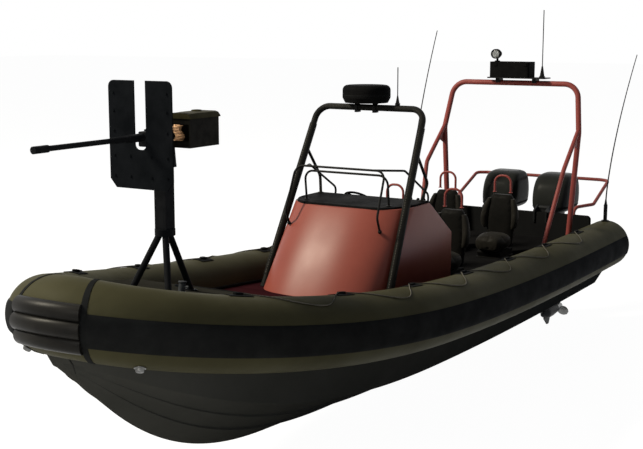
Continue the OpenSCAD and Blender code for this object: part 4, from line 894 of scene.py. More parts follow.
@dataclass(frozen=True)
class Stage:
    """Camera, soft lamps, white surroundings and a pale floor under the hull."""

    place: Point = (11.819, 6.694, 3.526)
    look: Point = (-0.8428, -0.5124, -0.1647)
    focal_px: float = 1164.83
    sensor: float = 36.0
    far: float = 400.0
    sky: float = 0.07
    floor_z: float = -1.10
    floor_reach: float = 150.0
    floor_glow: float = 1.16
    floor_glow_share: float = 0.84
    lamps: Tuple[Lamp, ...] = (
        Lamp("key", (12.6, -15.8, 19.6), (0.3, -0.2, 1.2), (2.8, 9.0), 10700.0, (1.0, 0.92, 0.74)),
        Lamp("bow_fill", (12.0, 1.0, 5.0), (2.0, 0, 0.8), (5.0, 5.0), 170.0, (1.0, 0.95, 0.86)),
        Lamp("port_fill", (10.5, 5.5, -0.4), (4.0, 0, -0.3), (3.6, 3.6), 80.0, (0.94, 0.97, 1.0)),
        Lamp("stern_fill", (-6.5, 6.5, -0.7), (-3.5, 0, -0.3), (2.4, 2.4), 30.0, (0.45, 0.62, 1.0)),
    )

    def build(self) -> None:
        """Makes the whole stage."""
        scene = bpy.context.scene
        scene.view_settings.view_transform = "Standard"
        self._camera(scene)
        self._world(scene)
        self._floor()
        for lamp in self.lamps:
            lamp.build()

    def _camera(self, scene: bpy.types.Scene) -> None:
        """Sets the camera where the photograph was taken from.

        Args:
            scene: Scene that it renders.
        """
        data = bpy.data.cameras.new("camera")
        data.sensor_fit = "HORIZONTAL"
        data.sensor_width = self.sensor
        data.lens = self.sensor * self.focal_px / IMAGE_SIZE[0]
        data.clip_end = self.far
        cam = bpy.data.objects.new("camera", data)
        scene.collection.objects.link(cam)
        cam.location = self.place
        cam.rotation_euler = Vector(self.look).to_track_quat("-Z", "Y").to_euler()
        scene.camera = cam

    def _world(self, scene: bpy.types.Scene) -> None:
        """Surrounds the boat with white that lights it only softly.

        Args:
            scene: Scene that gets the world.
        """
        world = bpy.data.worlds.new("studio")
        scene.world = world
        world.use_nodes = True
        world.node_tree.nodes.clear()
        g = Graph(world.node_tree)
        soft = g.node("ShaderNodeBackground", Color=(0.86, 0.92, 1.0, 1), Strength=self.sky)
        white = g.node("ShaderNodeBackground", Color=(1, 1, 1, 1), Strength=1.0)
        pick = g.node("ShaderNodeMixShader")
        out = g.node("ShaderNodeOutputWorld")
        g.link(g.surroundings(), pick.inputs[0])
        g.link(soft.outputs[0], pick.inputs[1])
        g.link(white.outputs[0], pick.inputs[2])
        g.link(pick.outputs[0], out.inputs["Surface"])

    def _floor(self) -> None:
        """Lays the pale floor, which shows white and keeps a faint shadow."""
        mesh = bpy.data.meshes.new("floor")
        reach = self.floor_reach
        corners = [(-reach, -reach), (reach, -reach), (reach, reach), (-reach, reach)]
        mesh.from_pydata([(x, y, self.floor_z) for x, y in corners], [], [(0, 1, 2, 3)])
        floor = bpy.data.objects.new("floor", mesh)
        bpy.context.scene.collection.objects.link(floor)
        paint = bpy.data.materials.new("pale_floor")
        paint.use_nodes = True
        paint.node_tree.nodes.clear()
        g = Graph(paint.node_tree)
        matt = g.node("ShaderNodeBsdfDiffuse", Color=(0.8, 0.8, 0.8, 1))
        glow = g.node("ShaderNodeEmission", Color=(1, 1, 1, 1), Strength=self.floor_glow)
        blend = g.node("ShaderNodeMixShader")
        out = g.node("ShaderNodeOutputMaterial")
        g.link(g.spread(g.surroundings(), 0.0, self.floor_glow_share), blend.inputs[0])
        g.link(matt.outputs[0], blend.inputs[1])
        g.link(glow.outputs[0], blend.inputs[2])
        g.link(blend.outputs[0], out.inputs["Surface"])
        mesh.materials.append(paint)


# Collar


@dataclass(frozen=True)
class Station:
    """Place on the collar's centre line: a point and the outward direction in plan."""

    x: float
    y: float
    nx: float
    ny: float
    z: float

    def ring(self, angle: float, radius: float) -> Vector:
        """Point on the ring; 0 degrees faces outboard, 90 is the top."""
        c, s = math.cos(math.radians(angle)) * radius, math.sin(math.radians(angle)) * radius
        return Vector((self.x + c * self.nx, self.y + c * self.ny, self.z + s))


@dataclass(frozen=True)
class CollarPath:
    """Plan curve and sheer of the inflated collar, with the CAD source's own values."""

    radius: float = 0.345
    half_beam: float = 1.745
    bow_x: float = 5.185
    end_x: float = -5.19
    shoulder_x: float = 0.455
    fullness: float = 2.4
    sheer_z: float = 0.37
    rise: float = 0.8
    power: float = 2.95
    seam: float = 9.8

    @property
    def reach(self) -> float:
        """Length of the bow curve."""
        return self.bow_x - self.shoulder_x - self.radius

    @property
    def side_y(self) -> float:
        """Distance of the parallel sides from the centreline."""
        return self.half_beam - self.radius

    def height(self, x: float) -> float:
        """Height of the collar's centre at a length."""
        return self.sheer_z + self.rise * max(0.0, (x - self.end_x) / (self.bow_x - self.end_x)) ** self.power

    def bow(self, t: float) -> Station:
        """Finds a station on the bow curve.

        Args:
            t: Angle from 0 degrees at the nose to 90 at the shoulder, below 0 on the starboard side.

        Returns:
            The station.
        """
        a, s = math.radians(abs(t)), -1 if t < 0 else 1
        c, n = max(0.0, math.cos(a)), self.fullness
        x, y = self.shoulder_x + self.reach * c ** (2 / n), self.side_y * math.sin(a)
        out = Vector((self.side_y * c ** (2 - 2 / n), self.reach * 2 / n * math.sin(a))).normalized()
        return Station(x, s * y, out.x, s * out.y, self.height(x + self.radius * out.x))

    def side(self, x: float) -> Station:
        """Station on the parallel side."""
        return Station(x, self.side_y, 0.0, 1.0, self.height(x))

    def at(self, x: float) -> Station:
        """Finds the port station at a length.

        Args:
            x: Length along the boat.

        Returns:
            The station.
        """
        if x <= self.shoulder_x:
            return self.side(x)
        share = ((x - self.shoulder_x) / self.reach) ** (self.fullness / 2)
        return self.bow(math.degrees(math.acos(share)))

    def run(self, start: float, end_x: float, bow_steps: int = 56, side_steps: int = 24) -> List[Station]:
        """Stations from an angle on the bow curve to a length on the side."""
        bow = [self.bow(mix(start, 90.0, i / bow_steps)) for i in range(bow_steps)]
        return bow + [self.side(mix(self.shoulder_x, end_x, i / side_steps)) for i in range(side_steps + 1)]


def mirrored(sections: List[List[Vector]], side: Side) -> List[List[Vector]]:
    """Sections on one side of the boat."""
    return [[side.place(p) for p in s] for s in sections]


@dataclass(frozen=True)
class Collar:
    """Inflated tubes with their strakes, fender, straps, patches and grab lines."""

    path: CollarPath = CollarPath()
    tube_sides: int = 60
    dome: float = 0.09
    dome_steps: int = 8
    dome_shrink: float = 0.14
    end_disc: float = 0.80
    nose_steps: int = 18
    strap: float = 0.6
    strake_half: float = 24.0
    strake_t: float = 0.011
    strake_edge: float = 0.35
    strake_taper: float = 7.0
    fender_half: float = 36.0
    fender_base: float = 0.008
    fender_rib: float = 0.042
    fender_ribs: int = 3
    rib_power: float = 0.6
    patch_first: float = -3.85
    patch_pitch: float = 1.27
    patch_count: int = 7
    patch_mid: float = 96.0
    rope_d: float = 0.012
    rope_rise: float = 0.017
    rope_lie: float = 0.0068
    rope_grip: float = 0.06
    # Rows of a bight: share of the span, swing down the tube in degrees
    bight: Tuple[Tuple[float, float], ...] = ((0.14, 8.0), (0.38, 30.0), (0.66, 39.0), (0.88, 14.0))

    def build(self) -> None:
        """Makes the collar's pieces."""
        for side in Side:
            self._rope(side)
        self._tubes()
        self._bands()
        for name in ("grab_line_patches", "seam_straps"):
            dress(frame["nodes"][name], Finishes.RUBBER)
        dress(frame["nodes"]["towing_eyes"], Finishes.METAL)

    def _rings(self, stations: Iterable[Station], radius: float) -> List[List[Vector]]:
        """Rings of one radius at some stations."""
        turns = [360.0 * k / self.tube_sides for k in range(self.tube_sides)]
        return [[s.ring(turn, radius) for turn in turns] for s in stations]

    def _tubes(self) -> None:
        """Makes the side tubes with their domed ends, and the bow tube."""
        p = self.path
        dome_x = p.end_x + self.dome
        for side in Side:
            sections = self._rings(p.run(p.seam, dome_x), p.radius)
            for k in range(1, self.dome_steps + 1):
                a = math.pi / 2 * k / self.dome_steps
                narrow = 1 - self.dome_shrink + self.dome_shrink * math.cos(a)
                sections += self._rings([p.side(dome_x - self.dome * math.sin(a))], p.radius * narrow)
            sections += self._rings([p.side(p.end_x)], p.radius * self.end_disc)
            tube = Kit.skinned("tube_skin_" + side.word, "boat", "tube_skin", mirrored(sections, side))
            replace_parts(dress(tube, Finishes.TUBE), "tube_" + side.word)
        nose = [p.bow(mix(-p.seam, p.seam, i / self.nose_steps)) for i in range(self.nose_steps + 1)]
        bow = Kit.skinned("tube_skin_bow", "boat", "tube_skin", self._rings(nose, p.radius))
        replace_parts(dress(bow, Finishes.TUBE), "tube_bow")

    def _band(self, s: Station, half: float, lift: Callable[[float], float], steps: int) -> List[Vector]:
        """Makes the section of a band that lies on the tube's outer side.

        Args:
            s: Station of the section.
            half: Half of the angle that it covers, in degrees.
            lift: Height over the tube, for a share of the width.
            steps: Pieces of the outer side.

        Returns:
            The closed section.
        """
        low = self.path.radius + GAP
        inner_steps = 6
        outer = [s.ring(mix(-half, half, i / steps), low + lift(i / steps)) for i in range(steps + 1)]
        inner = [s.ring(mix(half, -half, i / inner_steps), low) for i in range(inner_steps + 1)]
        return outer + inner

    def _bands(self) -> None:
        """Makes the rubbing strakes and the ribbed bow fender."""
        p = self.path

        def flat(f: float) -> float:
            """Height of the strake, for a share of its width."""
            return self.strake_t * min(1.0, self.strake_edge + self.strake_taper * min(f, 1 - f))

        def ribs(f: float) -> float:
            """Height of the fender's ribs, for a share of its width."""
            wave = abs(math.cos(math.pi * self.fender_ribs * (f - 0.5)))
            return self.fender_base + self.fender_rib * wave ** self.rib_power

        def strakes(bm: BMesh) -> None:
            """Adds both strakes.

            Args:
                bm: Mesh to add to.
            """
            run = p.run(p.seam + self.strap, p.end_x + self.dome)
            sections = [self._band(s, self.strake_half, flat, 14) for s in run]
            for side in Side:
                Kit.skin(bm, mirrored(sections, side))

        strake = Kit.piece("strake_skin", "boat", "black_rubber", strakes)
        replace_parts(dress(strake, Finishes.RUBBER), "rub_strakes")
        end, steps = p.seam - self.strap, 24
        stations = [p.bow(mix(-end, end, i / steps)) for i in range(steps + 1)]
        sections = [self._band(s, self.fender_half, ribs, 60) for s in stations]
        fender = Kit.skinned("fender_skin", "boat", "black_rubber", sections, 50.0)
        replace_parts(dress(fender, Finishes.FENDER), "bow_fender")

    def _rope_route(self) -> List[Vector]:
        """Finds the port line's route: straight through each boss, in a slack bight on the tube between them.

        Returns:
            Points from the foremost boss to the aftmost.
        """
        p = self.path
        places = [self.patch_first + self.patch_pitch * i for i in range(self.patch_count)][::-1]
        held = (self.patch_mid, self.rope_rise)
        rows: List[List[float]] = [[places[0], *held]]
        for fore, aft in zip(places, places[1:]):
            start, end = fore - self.rope_grip, aft + self.rope_grip
            span = [[start, *held]]
            for share, swing in self.bight:
                span.append([mix(start, end, share), self.patch_mid - swing, self.rope_lie])
            rows += smooth_table(span + [[end, *held]], 6)
        rows.append([places[-1], *held])
        return [p.at(x).ring(angle, p.radius + lift) for x, angle, lift in rows]

    def _rope(self, side: Side) -> None:
        """Args:
            side: Side of the boat.
        """
        points = [side.place(q) for q in self._rope_route()]
        name = "grab_rope_" + side.word
        curve = bpy.data.curves.new(name, "CURVE")
        curve.dimensions = "3D"
        # Each point carries the rope's radius, so that the curve's box fits the rope
        curve.bevel_depth = 1.0
        curve.bevel_resolution = 4
        spline = curve.splines.new("POLY")
        spline.points.add(len(points) - 1)
        for point, at in zip(spline.points, points):
            point.co = (*at, 1)
            point.radius = self.rope_d / 2
        rope = bpy.data.objects.new(name, curve)
        bpy.context.scene.collection.objects.link(rope)
        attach(rope, "boat")
        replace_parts(dress(rope, Finishes.ROPE), "grab_line_" + side.word)
        length = sum((b - a).length for a, b in zip(points, points[1:]))
        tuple(points[0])


# Hull and deck


@dataclass(frozen=True)
class HullSkin:
    """Moulded hull with spray rails and chines, and the decks on it."""

    path: CollarPath = CollarPath()
    keel_z: float = -0.70
    stem_rise: float = 1.47
    stem_back: float = 0.275
    stem_in: float = 0.06
    stem_power: float = 3.5
    forefoot_x: float = 0.6
    transom_x: float = -5.0
    seat_angle: float = -84.0
    seat_gap: float = 0.0012
    seat_steps: int = 20
    bow_steps: int = 70
    bow_ease: float = 1.25
    side_steps: int = 20
    chine_out: float = 0.857
    chine_up: float = 0.648
    chine_w: float = 0.06
    rail_shares: Tuple[float, float] = (0.36, 0.68)
    rail_w: float = 0.048
    sole_z: float = 0.40
    ramp_x: float = -1.2
    ramp_slope: float = 0.0844
    deck_t: float = 0.03
    trim_r: float = 0.015
    trim_lift: float = 0.016
    trim_off: float = 0.017
    trim_steps: int = 40
    trim_ends: Tuple[float, float] = (-1.19, 2.84)

    def deck(self, x: float) -> float:
        """Height of the deck at a length."""
        return self.sole_z + self.ramp_slope * max(0.0, x - self.ramp_x)

    def _half(self, s: Station) -> List[Vector]:
        """Makes the port half of a hull section, from the keel round to the middle of the deck.

        Args:
            s: Station of the collar that it seats on.

        Returns:
            Points of the half.
        """
        r = self.path.radius + self.seat_gap
        kx = s.x - self.stem_in * s.nx
        stem = self.path.bow_x - self.stem_back - self.forefoot_x
        rise = max(0.0, (kx - self.forefoot_x) / stem) ** self.stem_power
        keel = Vector((kx, 0, self.keel_z + self.stem_rise * rise))
        low = s.ring(self.seat_angle, r)
        chine = Vector((mix(keel.x, low.x, 0.5), self.chine_out * low.y, mix(keel.z, low.z, self.chine_up)))
        fade = 1 - s.nx
        z = self.deck(s.x - self.path.radius * s.nx) - self.deck_t
        end = -180.0 + math.degrees(math.asin((s.z - z) / r))
        edge = s.ring(end, r)
        out = [keel]
        for f in self.rail_shares:
            a, w = mix(keel, chine, f), self.rail_w * fade
            g = w / chine.y if chine.y > 1e-6 else 0.0
            out += [a, a + Vector((0, w, 0)), mix(keel, chine, f + g)]
        out += [chine, chine + Vector((0, self.chine_w * fade, 0))]
        out += [s.ring(mix(self.seat_angle, end, i / self.seat_steps), r) for i in range(self.seat_steps + 1)]
        return out + [Vector((edge.x, 0, z))]

    def build(self) -> None:
        """Makes the hull's skin and dresses the decks."""
        p = self.path
        stations = [p.bow(90.0 * (i / self.bow_steps) ** self.bow_ease) for i in range(self.bow_steps)]
        for i in range(self.side_steps + 1):
            stations.append(p.side(mix(p.shoulder_x, self.transom_x, i / self.side_steps)))
        sections = []
        for s in stations[1:]:
            half = self._half(s)
            sections.append(half + [flip(q) for q in half[-2:0:-1]])
        hull = Kit.skinned("hull_skin", "boat", "hull", sections, 32.0)
        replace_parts(dress(hull, Finishes.HULL), "hull")
        dress(frame["nodes"]["aft_sole"], Finishes.DECK)
        dress(frame["nodes"]["fore_sole"], Finishes.RED_DECK)
        dress(frame["nodes"]["bow_locker"], Finishes.LOCKER)
        dress(frame["nodes"]["transom"], Finishes.TRANSOM)
        self._trim()

    def _trim(self) -> None:
        """Makes the rubber trim where the fore sole meets the tubes."""
        p = self.path

        def strips(bm: BMesh) -> None:
            """Adds the trim of both sides.

            Args:
                bm: Mesh to add to.
            """
            route = []
            for i in range(self.trim_steps + 1):
                x = mix(*self.trim_ends, i / self.trim_steps)
                s = p.at(x)
                z = self.deck(x) + self.trim_lift
                inset = math.sqrt(max(0.0, (p.radius + self.trim_off) ** 2 - (z - s.z) ** 2))
                route.append(Vector((s.x - inset * s.nx, s.y - inset * s.ny, z)))
            for side in Side:
                Kit.tube(bm, [side.place(q) for q in route], self.trim_r, 12)

        dress(Kit.piece("sole_edge_trim", "boat", "black_rubber", strips), Finishes.RUBBER)


# Console


@dataclass(frozen=True)
class Console:
    """Helm console: shell, hoop with its sleeves, rails, dash instruments and the radar dome's fittings."""

    top_z: float = 1.53
    front_x: float = 0.47
    lean: float = 36.5
    half: float = 0.77
    corner: float = 0.38
    break_x: float = -0.37
    rear_x: float = -0.985
    low_z: float = 1.10
    dash_t: float = 0.022
    crown: float = 0.01
    front_flat: float = 2.7
    front_round: float = 2.2
    arc_steps: int = 48
    shell_bevel: float = 0.008
    hoop_foot: Tuple[float, float] = (0.75, 0.822)
    hoop_corner: Point = (-0.31, 0.715, 2.62)
    hoop_r: float = 0.0375
    hoop_bend: float = 0.17
    brace_share: float = 0.765
    brace_set: float = 0.06
    brace_y: float = 0.69
    brace_knee_y: float = 0.735
    brace_knee_share: float = 0.35
    brace_r: float = 0.018
    sleeve_r: float = 0.0445
    sleeve_end_r: float = 0.038
    sleeve_shares: Tuple[float, float] = (0.05, 0.90)
    stitch_pitch: float = 0.030
    stitch_size: Point = (0.014, 0.006, 0.004)
    clamps_y: Tuple[float, float] = (-0.175, 0.065)
    saddle_z: float = 2.571
    saddle_size: Point = (0.05, 0.04, 0.02)
    cheek_z: float = 2.606
    cheek_off: float = 0.04148
    cheek_size: Point = (0.010, 0.036, 0.088)
    dome_y: float = -0.055
    dome_z: float = 2.6779
    rail_r: float = 0.013
    rail_bend: float = 0.11
    rail_rise: float = 0.44
    rail_ball_r: float = 0.023
    # Turn round the corner, distance off the front, drop below the top
    rail_foot: Point = (31.8, 0.0234, 0.225)
    # Distance behind the front edge, distance from the centreline, drop below the rail's top
    rail_front: Point = (0.06, 0.59, 0.0)
    rail_inner: Point = (0.19, 0.55, 0.07)
    rail_shoulder: Point = (0.44, 0.64, 0.03)
    # Distance down the dash, distance from the centreline
    rail_aft: Tuple[float, float] = (0.18, 0.64)
    # Columns: distance down the dash, across, lift, size, edge radius; the first is the display
    cases: Tuple[Tuple[float, float, float, Point, float], ...] = (
        (0.20, 0.02, 0.012, (0.22, 0.32, 0.024), 0.008), (0.42, 0.05, 0.010, (0.10, 0.26, 0.020), 0.006),
        (0.42, 0.44, 0.030, (0.20, 0.16, 0.060), 0.016))
    gauge_run: float = 0.085
    gauges_y: Tuple[float, ...] = (-0.56, -0.425, -0.29)
    levers_y: Tuple[float, ...] = (0.40, 0.48)
    switch_run: float = 0.42
    switch_first: float = -0.05
    switch_size: Point = (0.030, 0.014, 0.012)
    switches: int = 8
    switch_pitch: float = 0.028
    door_z: float = 0.76
    door_size: Point = (0.015, 0.62, 0.54)
    hinge_y: float = -0.33
    hinge_off: float = 0.18
    hinge_size: Point = (0.018, 0.05, 0.07)
    latch_y: float = 0.25
    hull: HullSkin = HullSkin()

    @property
    def dash_dir(self) -> Vector:
        """Direction down the dash slope."""
        return Vector((self.rear_x - self.break_x, 0, self.low_z - self.top_z)).normalized()

    @property
    def dash_n(self) -> Vector:
        """Outward normal of the dash slope."""
        d = self.dash_dir
        return Vector((d.z, 0, -d.x))

    def on_dash(self, run: float, y: float, lift: float) -> Vector:
        """Point over the dash slope: down it, across it and off it."""
        base = Vector((self.break_x, y, self.top_z)) + self.dash_dir * run
        return base + self.dash_n * (self.dash_t + GAP + lift)

    def front_out(self, y: float) -> float:
        """Reach of the crowned front past its flat, at a distance from the centreline."""
        bow = (1 - min(1.0, abs(y) / self.half) ** self.front_flat) ** (1 / self.front_round)
        return (self.corner + self.crown) * bow - self.corner

    def front_pt(self, turn: float, lift: float, z: float) -> Vector:
        """Finds a point off the rounded corner of the console's front.

        Args:
            turn: Angle round the corner in degrees, 0 where the front begins to turn.
            lift: Distance off the surface.
            z: Height.

        Returns:
            The point on the port side.
        """
        a = math.radians(self.lean)
        near = self.half - self.corner + self.corner * math.sin(math.radians(turn))
        step = 0.001
        slope = (self.front_out(near + step) - self.front_out(near - step)) / (2 * step)
        normal = Vector((1.0, -slope, 0.0)).normalized()
        out = self.front_out(near) + lift * normal.x
        y = near + lift * normal.y
        up = (z - self.top_z - out * math.sin(a)) / math.cos(a)
        return Vector((self.front_x + out * math.cos(a) - up * math.sin(a), y, z))

    def build(self) -> None:
        """Makes the console's pieces."""
        nodes = frame["nodes"]
        self._shell()
        for name in ("console_dash", "helm_wheel", "radome"):
            dress(nodes[name], Finishes.PANEL)
        self._hoop()
        self._dome_fittings()
        self._rails()
        self._instruments()
        self._door()

    def _shell(self) -> None:
        """Makes the moulded shell: a leaned prism cut by the deck, top, dash and rear planes."""
        a = math.radians(self.lean)
        out_dir, up_dir = Vector((math.cos(a), 0, math.sin(a))), Vector((-math.sin(a), 0, math.cos(a)))
        nose = Vector((self.front_x, 0, self.top_z))
        reach_aft, reach_up = 4.0, 3.0
        half_outline = [(-reach_aft, self.half)]
        for k in range(self.arc_steps + 1):
            y = self.half * math.sin(math.pi / 2 * (1 - k / self.arc_steps))
            half_outline.append((self.front_out(y), y))
        outline = half_outline + [(u, -y) for u, y in reversed(half_outline[:-1])]
        deck_n = Vector((-self.hull.ramp_slope, 0, 1))
        cuts = [(Vector((0, 0, self.hull.deck(0) + 0.0005)), -deck_n), (nose, UP),
                (Vector((self.break_x, 0, self.top_z)), self.dash_n), (Vector((self.rear_x, 0, 0)), -AHEAD)]

        def build(bm: BMesh) -> None:
            """Adds the prism, cuts it and rounds its edges.

            Args:
                bm: Mesh to add to.
            """
            Kit.skin(bm, [[nose + out_dir * u + up_dir * up + Vector((0, y, 0)) for u, y in outline]
                          for up in (-reach_up, reach_up)])
            for place, normal in cuts:
                cut = bmesh.ops.bisect_plane(bm, geom=bm.verts[:] + bm.edges[:] + bm.faces[:], plane_co=place,
                                             plane_no=normal, clear_outer=True)
                rim = [e for e in cut["geom_cut"] if isinstance(e, bmesh.types.BMEdge)]
                bmesh.ops.contextual_create(bm, geom=rim)
            bmesh.ops.recalc_face_normals(bm, faces=bm.faces[:])
            corners = [e for e in bm.edges if e.is_manifold and e.calc_face_angle() > math.radians(25)]
            bmesh.ops.bevel(bm, geom=corners, offset=self.shell_bevel, segments=3, affect="EDGES",
                            profile=0.5)

        shell = Kit.piece("console_shell", "boat", "console_red", build)
        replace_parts(dress(shell, Finishes.CONSOLE), "console")

    def _hoop(self) -> None:
        """Makes the hoop with its braces, and the stitched sleeves on its legs; the stitches' light colour is
        a painted highlight.
        """
        foot_x, foot_y = self.hoop_foot
        foot = Vector((foot_x, foot_y, self.hull.deck(foot_x) + 0.018))
        corner = Vector(self.hoop_corner)
        head = mix(foot, corner, self.brace_share)
        brace_foot = Vector((self.break_x + self.brace_set, self.brace_y, self.top_z + self.dash_t + 2 * GAP))
        knee = Vector((brace_foot.x - self.brace_set, self.brace_knee_y,
                       mix(brace_foot.z, head.z, self.brace_knee_share)))
        slope = math.atan(self.hull.ramp_slope)
        deck_up = Vector((-math.sin(slope), 0, math.cos(slope)))
        run = (corner - foot).normalized()
        face = Vector((run.z, 0, -run.x)).normalized()
        low, high = [mix(foot, corner, share) for share in self.sleeve_shares]

        def tubes(bm: BMesh) -> None:
            """Adds the hoop, its braces and their flanges.

            Args:
                bm: Mesh to add to.
            """
            route = bent_route([foot, corner, flip(corner), flip(foot)], self.hoop_bend, 12)
            Kit.tube(bm, route, self.hoop_r, 28)
            for side in Side:
                at = side.place
                brace = [at(head), at(knee), at(brace_foot) + Vector((0, 0, 0.006))]
                Kit.tube(bm, bent_route(brace, 0.09), self.brace_r, 16)
                Kit.turned(bm, at(brace_foot), UP, [(0.036, 0), (0.036, 0.007), (0.033, 0.010)])
                base = at(Vector((foot.x, foot.y, self.hull.deck(foot.x) + 0.0006)))
                Kit.turned(bm, base, deck_up, [(0.0475, 0), (0.0475, 0.014), (0.044, 0.018), (0.041, 0.03)])

        hoop = Kit.piece("hoop_tubes", "boat", "black_tube", tubes)
        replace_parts(dress(hoop, Finishes.WRAP), "console_hoop")

        def sleeves(bm: BMesh) -> None:
            """Adds a sleeve on each leg.

            Args:
                bm: Mesh to add to.
            """
            radii = (self.sleeve_end_r, self.sleeve_r, self.sleeve_r, self.sleeve_end_r)
            for side in Side:
                ends = [low, low + run * 0.01, high - run * 0.01, high]
                Kit.tube(bm, [side.place(q) for q in ends], radii, 28)

        covers = Kit.piece("hoop_sleeves", "boat", "black_tube", sleeves)
        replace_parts(dress(covers, Finishes.WRAP), "console_hoop")

        def stitches(bm: BMesh) -> None:
            """Adds a row of light stitches on the front of each sleeve; their light colour is a painted
            highlight standing in for the wrap's dotted highlights.

            Args:
                bm: Mesh to add to.
            """
            for k in range(1, int((high - low).length / self.stitch_pitch)):
                place = low + run * (k * self.stitch_pitch) + face * self.sleeve_r
                for side in Side:
                    turn = Matrix((side.place(run), ACROSS, side.place(face))).transposed()
                    Kit.block(bm, side.place(place), self.stitch_size, 0.0015, turn)

        # Light stitches sit only on the sleeves' fronts: their colour is a painted highlight for the wrap's
        # dotted highlights.
        dress(Kit.piece("sleeve_stitches", "boat", "black_tube", stitches), Finishes.ROPE)

    def _dome_fittings(self) -> None:
        """Makes the clamps that hold the radar dome on the hoop, and the seam round the dome."""
        hoop_x = self.hoop_corner[0]

        def clamps(bm: BMesh) -> None:
            """Adds two clamps round the hoop's top.

            Args:
                bm: Mesh to add to.
            """
            for y in self.clamps_y:
                Kit.block(bm, Vector((hoop_x, y, self.saddle_z)), self.saddle_size, 0.006)
                for off in (-self.cheek_off, self.cheek_off):
                    Kit.block(bm, Vector((hoop_x + off, y, self.cheek_z)), self.cheek_size, 0.003)

        dress(Kit.piece("dome_clamps", "boat", "black_tube", clamps), Finishes.BLACK_TUBE)

        def seam(bm: BMesh) -> None:
            """Adds the band round the dome.

            Args:
                bm: Mesh to add to.
            """
            centre = Vector((hoop_x, self.dome_y, self.dome_z))
            Kit.turned(bm, centre + Vector((0, 0, 0.085)), UP,
                       [(0.2848, 0), (0.2862, 0.002), (0.2862, 0.008), (0.2848, 0.010)], 72)

        dress(Kit.piece("dome_seam", "boat", "black_panel", seam), Finishes.RUBBER)

    def _rails(self) -> None:
        """Makes the grab rails over the console."""
        turn, off, drop = self.rail_foot
        foot = self.front_pt(turn, off, self.top_z - drop)
        rail_z = self.top_z + self.rail_rise
        front, inner, shoulder = [Vector((self.front_x - back, y, rail_z - down)) for back, y, down
                                  in (self.rail_front, self.rail_inner, self.rail_shoulder)]
        top = self.top_z + self.dash_t + 2 * GAP
        swell = Vector((foot.x + 0.07, foot.y, foot.z + 0.16))
        inner_foot = Vector((inner.x - 0.04, inner.y, top))
        aft = self.on_dash(*self.rail_aft, GAP)
        ball_r = self.rail_ball_r
        arc = [math.pi * k / 12 for k in range(13)]
        ball = [(ball_r * math.sin(a), ball_r - ball_r * math.cos(a)) for a in arc]

        def build(bm: BMesh) -> None:
            """Adds the front rail, the inner rail, the side rails and their feet.

            Args:
                bm: Mesh to add to.
            """
            over = [foot, swell, front, flip(front), flip(swell), flip(foot)]
            Kit.tube(bm, bent_route(over, self.rail_bend), self.rail_r, 16)
            up = Vector((0, 0, 0.004))
            within = [inner_foot + up, inner, flip(inner), flip(inner_foot) + up]
            Kit.tube(bm, bent_route(within, self.rail_bend), self.rail_r, 16)
            for side in Side:
                at = side.place
                along = [at(Vector((front.x, front.y - 0.15, rail_z))), at(shoulder),
                         at(aft + self.dash_n * 0.16), at(aft + self.dash_n * 0.004)]
                Kit.tube(bm, bent_route(along, 0.08), self.rail_r, 16)
                Kit.turned(bm, at(aft), self.dash_n, [(0.032, 0), (0.032, 0.007), (0.028, 0.010)])
                Kit.turned(bm, at(inner_foot), UP, [(0.032, 0), (0.032, 0.006), (0.028, 0.009)])
                Kit.turned(bm, at(foot) - Vector((0, 0, ball_r)), UP, ball, 24)

        rails = Kit.piece("rail_tubes", "boat", "black_tube", build)
        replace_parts(dress(rails, Finishes.BLACK_TUBE), "grab_rails")

    def _instruments(self) -> None:
        """Makes what sits on the dash: display, switches, gauges and throttle levers."""
        turn = Matrix((self.dash_dir, ACROSS, self.dash_n)).transposed()
        if turn.determinant() < 0:
            turn = Matrix((-self.dash_dir, ACROSS, self.dash_n)).transposed()

        def cases(bm: BMesh) -> None:
            """Adds the housings, gauge rims, switches and levers.

            Args:
                bm: Mesh to add to.
            """
            for run, y, lift, size, edge in self.cases:
                Kit.block(bm, self.on_dash(run, y, lift), size, edge, turn)
            for y in self.gauges_y:
                Kit.turned(bm, self.on_dash(self.gauge_run, y, 0), self.dash_n,
                           [(0.052, 0), (0.052, 0.012), (0.049, 0.016), (0.043, 0.016), (0.041, 0.010)], 40)
            for k in range(self.switches):
                place = self.on_dash(self.switch_run, self.switch_first + self.switch_pitch * k, 0.024)
                Kit.block(bm, place, self.switch_size, 0.003, turn)
            for y in self.levers_y:
                arm = [self.on_dash(0.42, y, 0.05), self.on_dash(0.40, y, 0.16), self.on_dash(0.36, y, 0.19)]
                Kit.tube(bm, bent_route(arm, 0.03), 0.009, 12)
                Kit.turned(bm, self.on_dash(0.375, y, 0.17), self.dash_n,
                           [(0.006, 0), (0.019, 0.006), (0.022, 0.02), (0.016, 0.034), (0.004, 0.040)], 24)

        dress(Kit.piece("dash_fittings", "boat", "black_panel", cases), Finishes.PANEL)

        def glass(bm: BMesh) -> None:
            """Adds the display's glass and the gauges' glasses.

            Args:
                bm: Mesh to add to.
            """
            run, y = self.cases[0][:2]
            Kit.block(bm, self.on_dash(run, y, 0.0235), (0.18, 0.28, 0.004), 0.0015, turn)
            for y in self.gauges_y:
                Kit.turned(bm, self.on_dash(self.gauge_run, y, 0.008), self.dash_n,
                           [(0.042, 0), (0.041, 0.004), (0.02, 0.0055)], 40)

        dress(Kit.piece("dash_glass", "boat", "black_panel", glass), Finishes.SCREEN)

    def _door(self) -> None:
        """Makes the door in the console's rear, with its hinges and latch."""

        def door(bm: BMesh) -> None:
            """Adds the door and two hinges.

            Args:
                bm: Mesh to add to.
            """
            thick = self.door_size[0]
            Kit.block(bm, Vector((self.rear_x - thick / 2, 0, self.door_z)), self.door_size, 0.007)
            for z in (self.door_z - self.hinge_off, self.door_z + self.hinge_off):
                Kit.block(bm, Vector((self.rear_x - 0.016, self.hinge_y, z)), self.hinge_size, 0.004)

        dress(Kit.piece("console_door", "boat", "console_red", door), Finishes.CONSOLE)

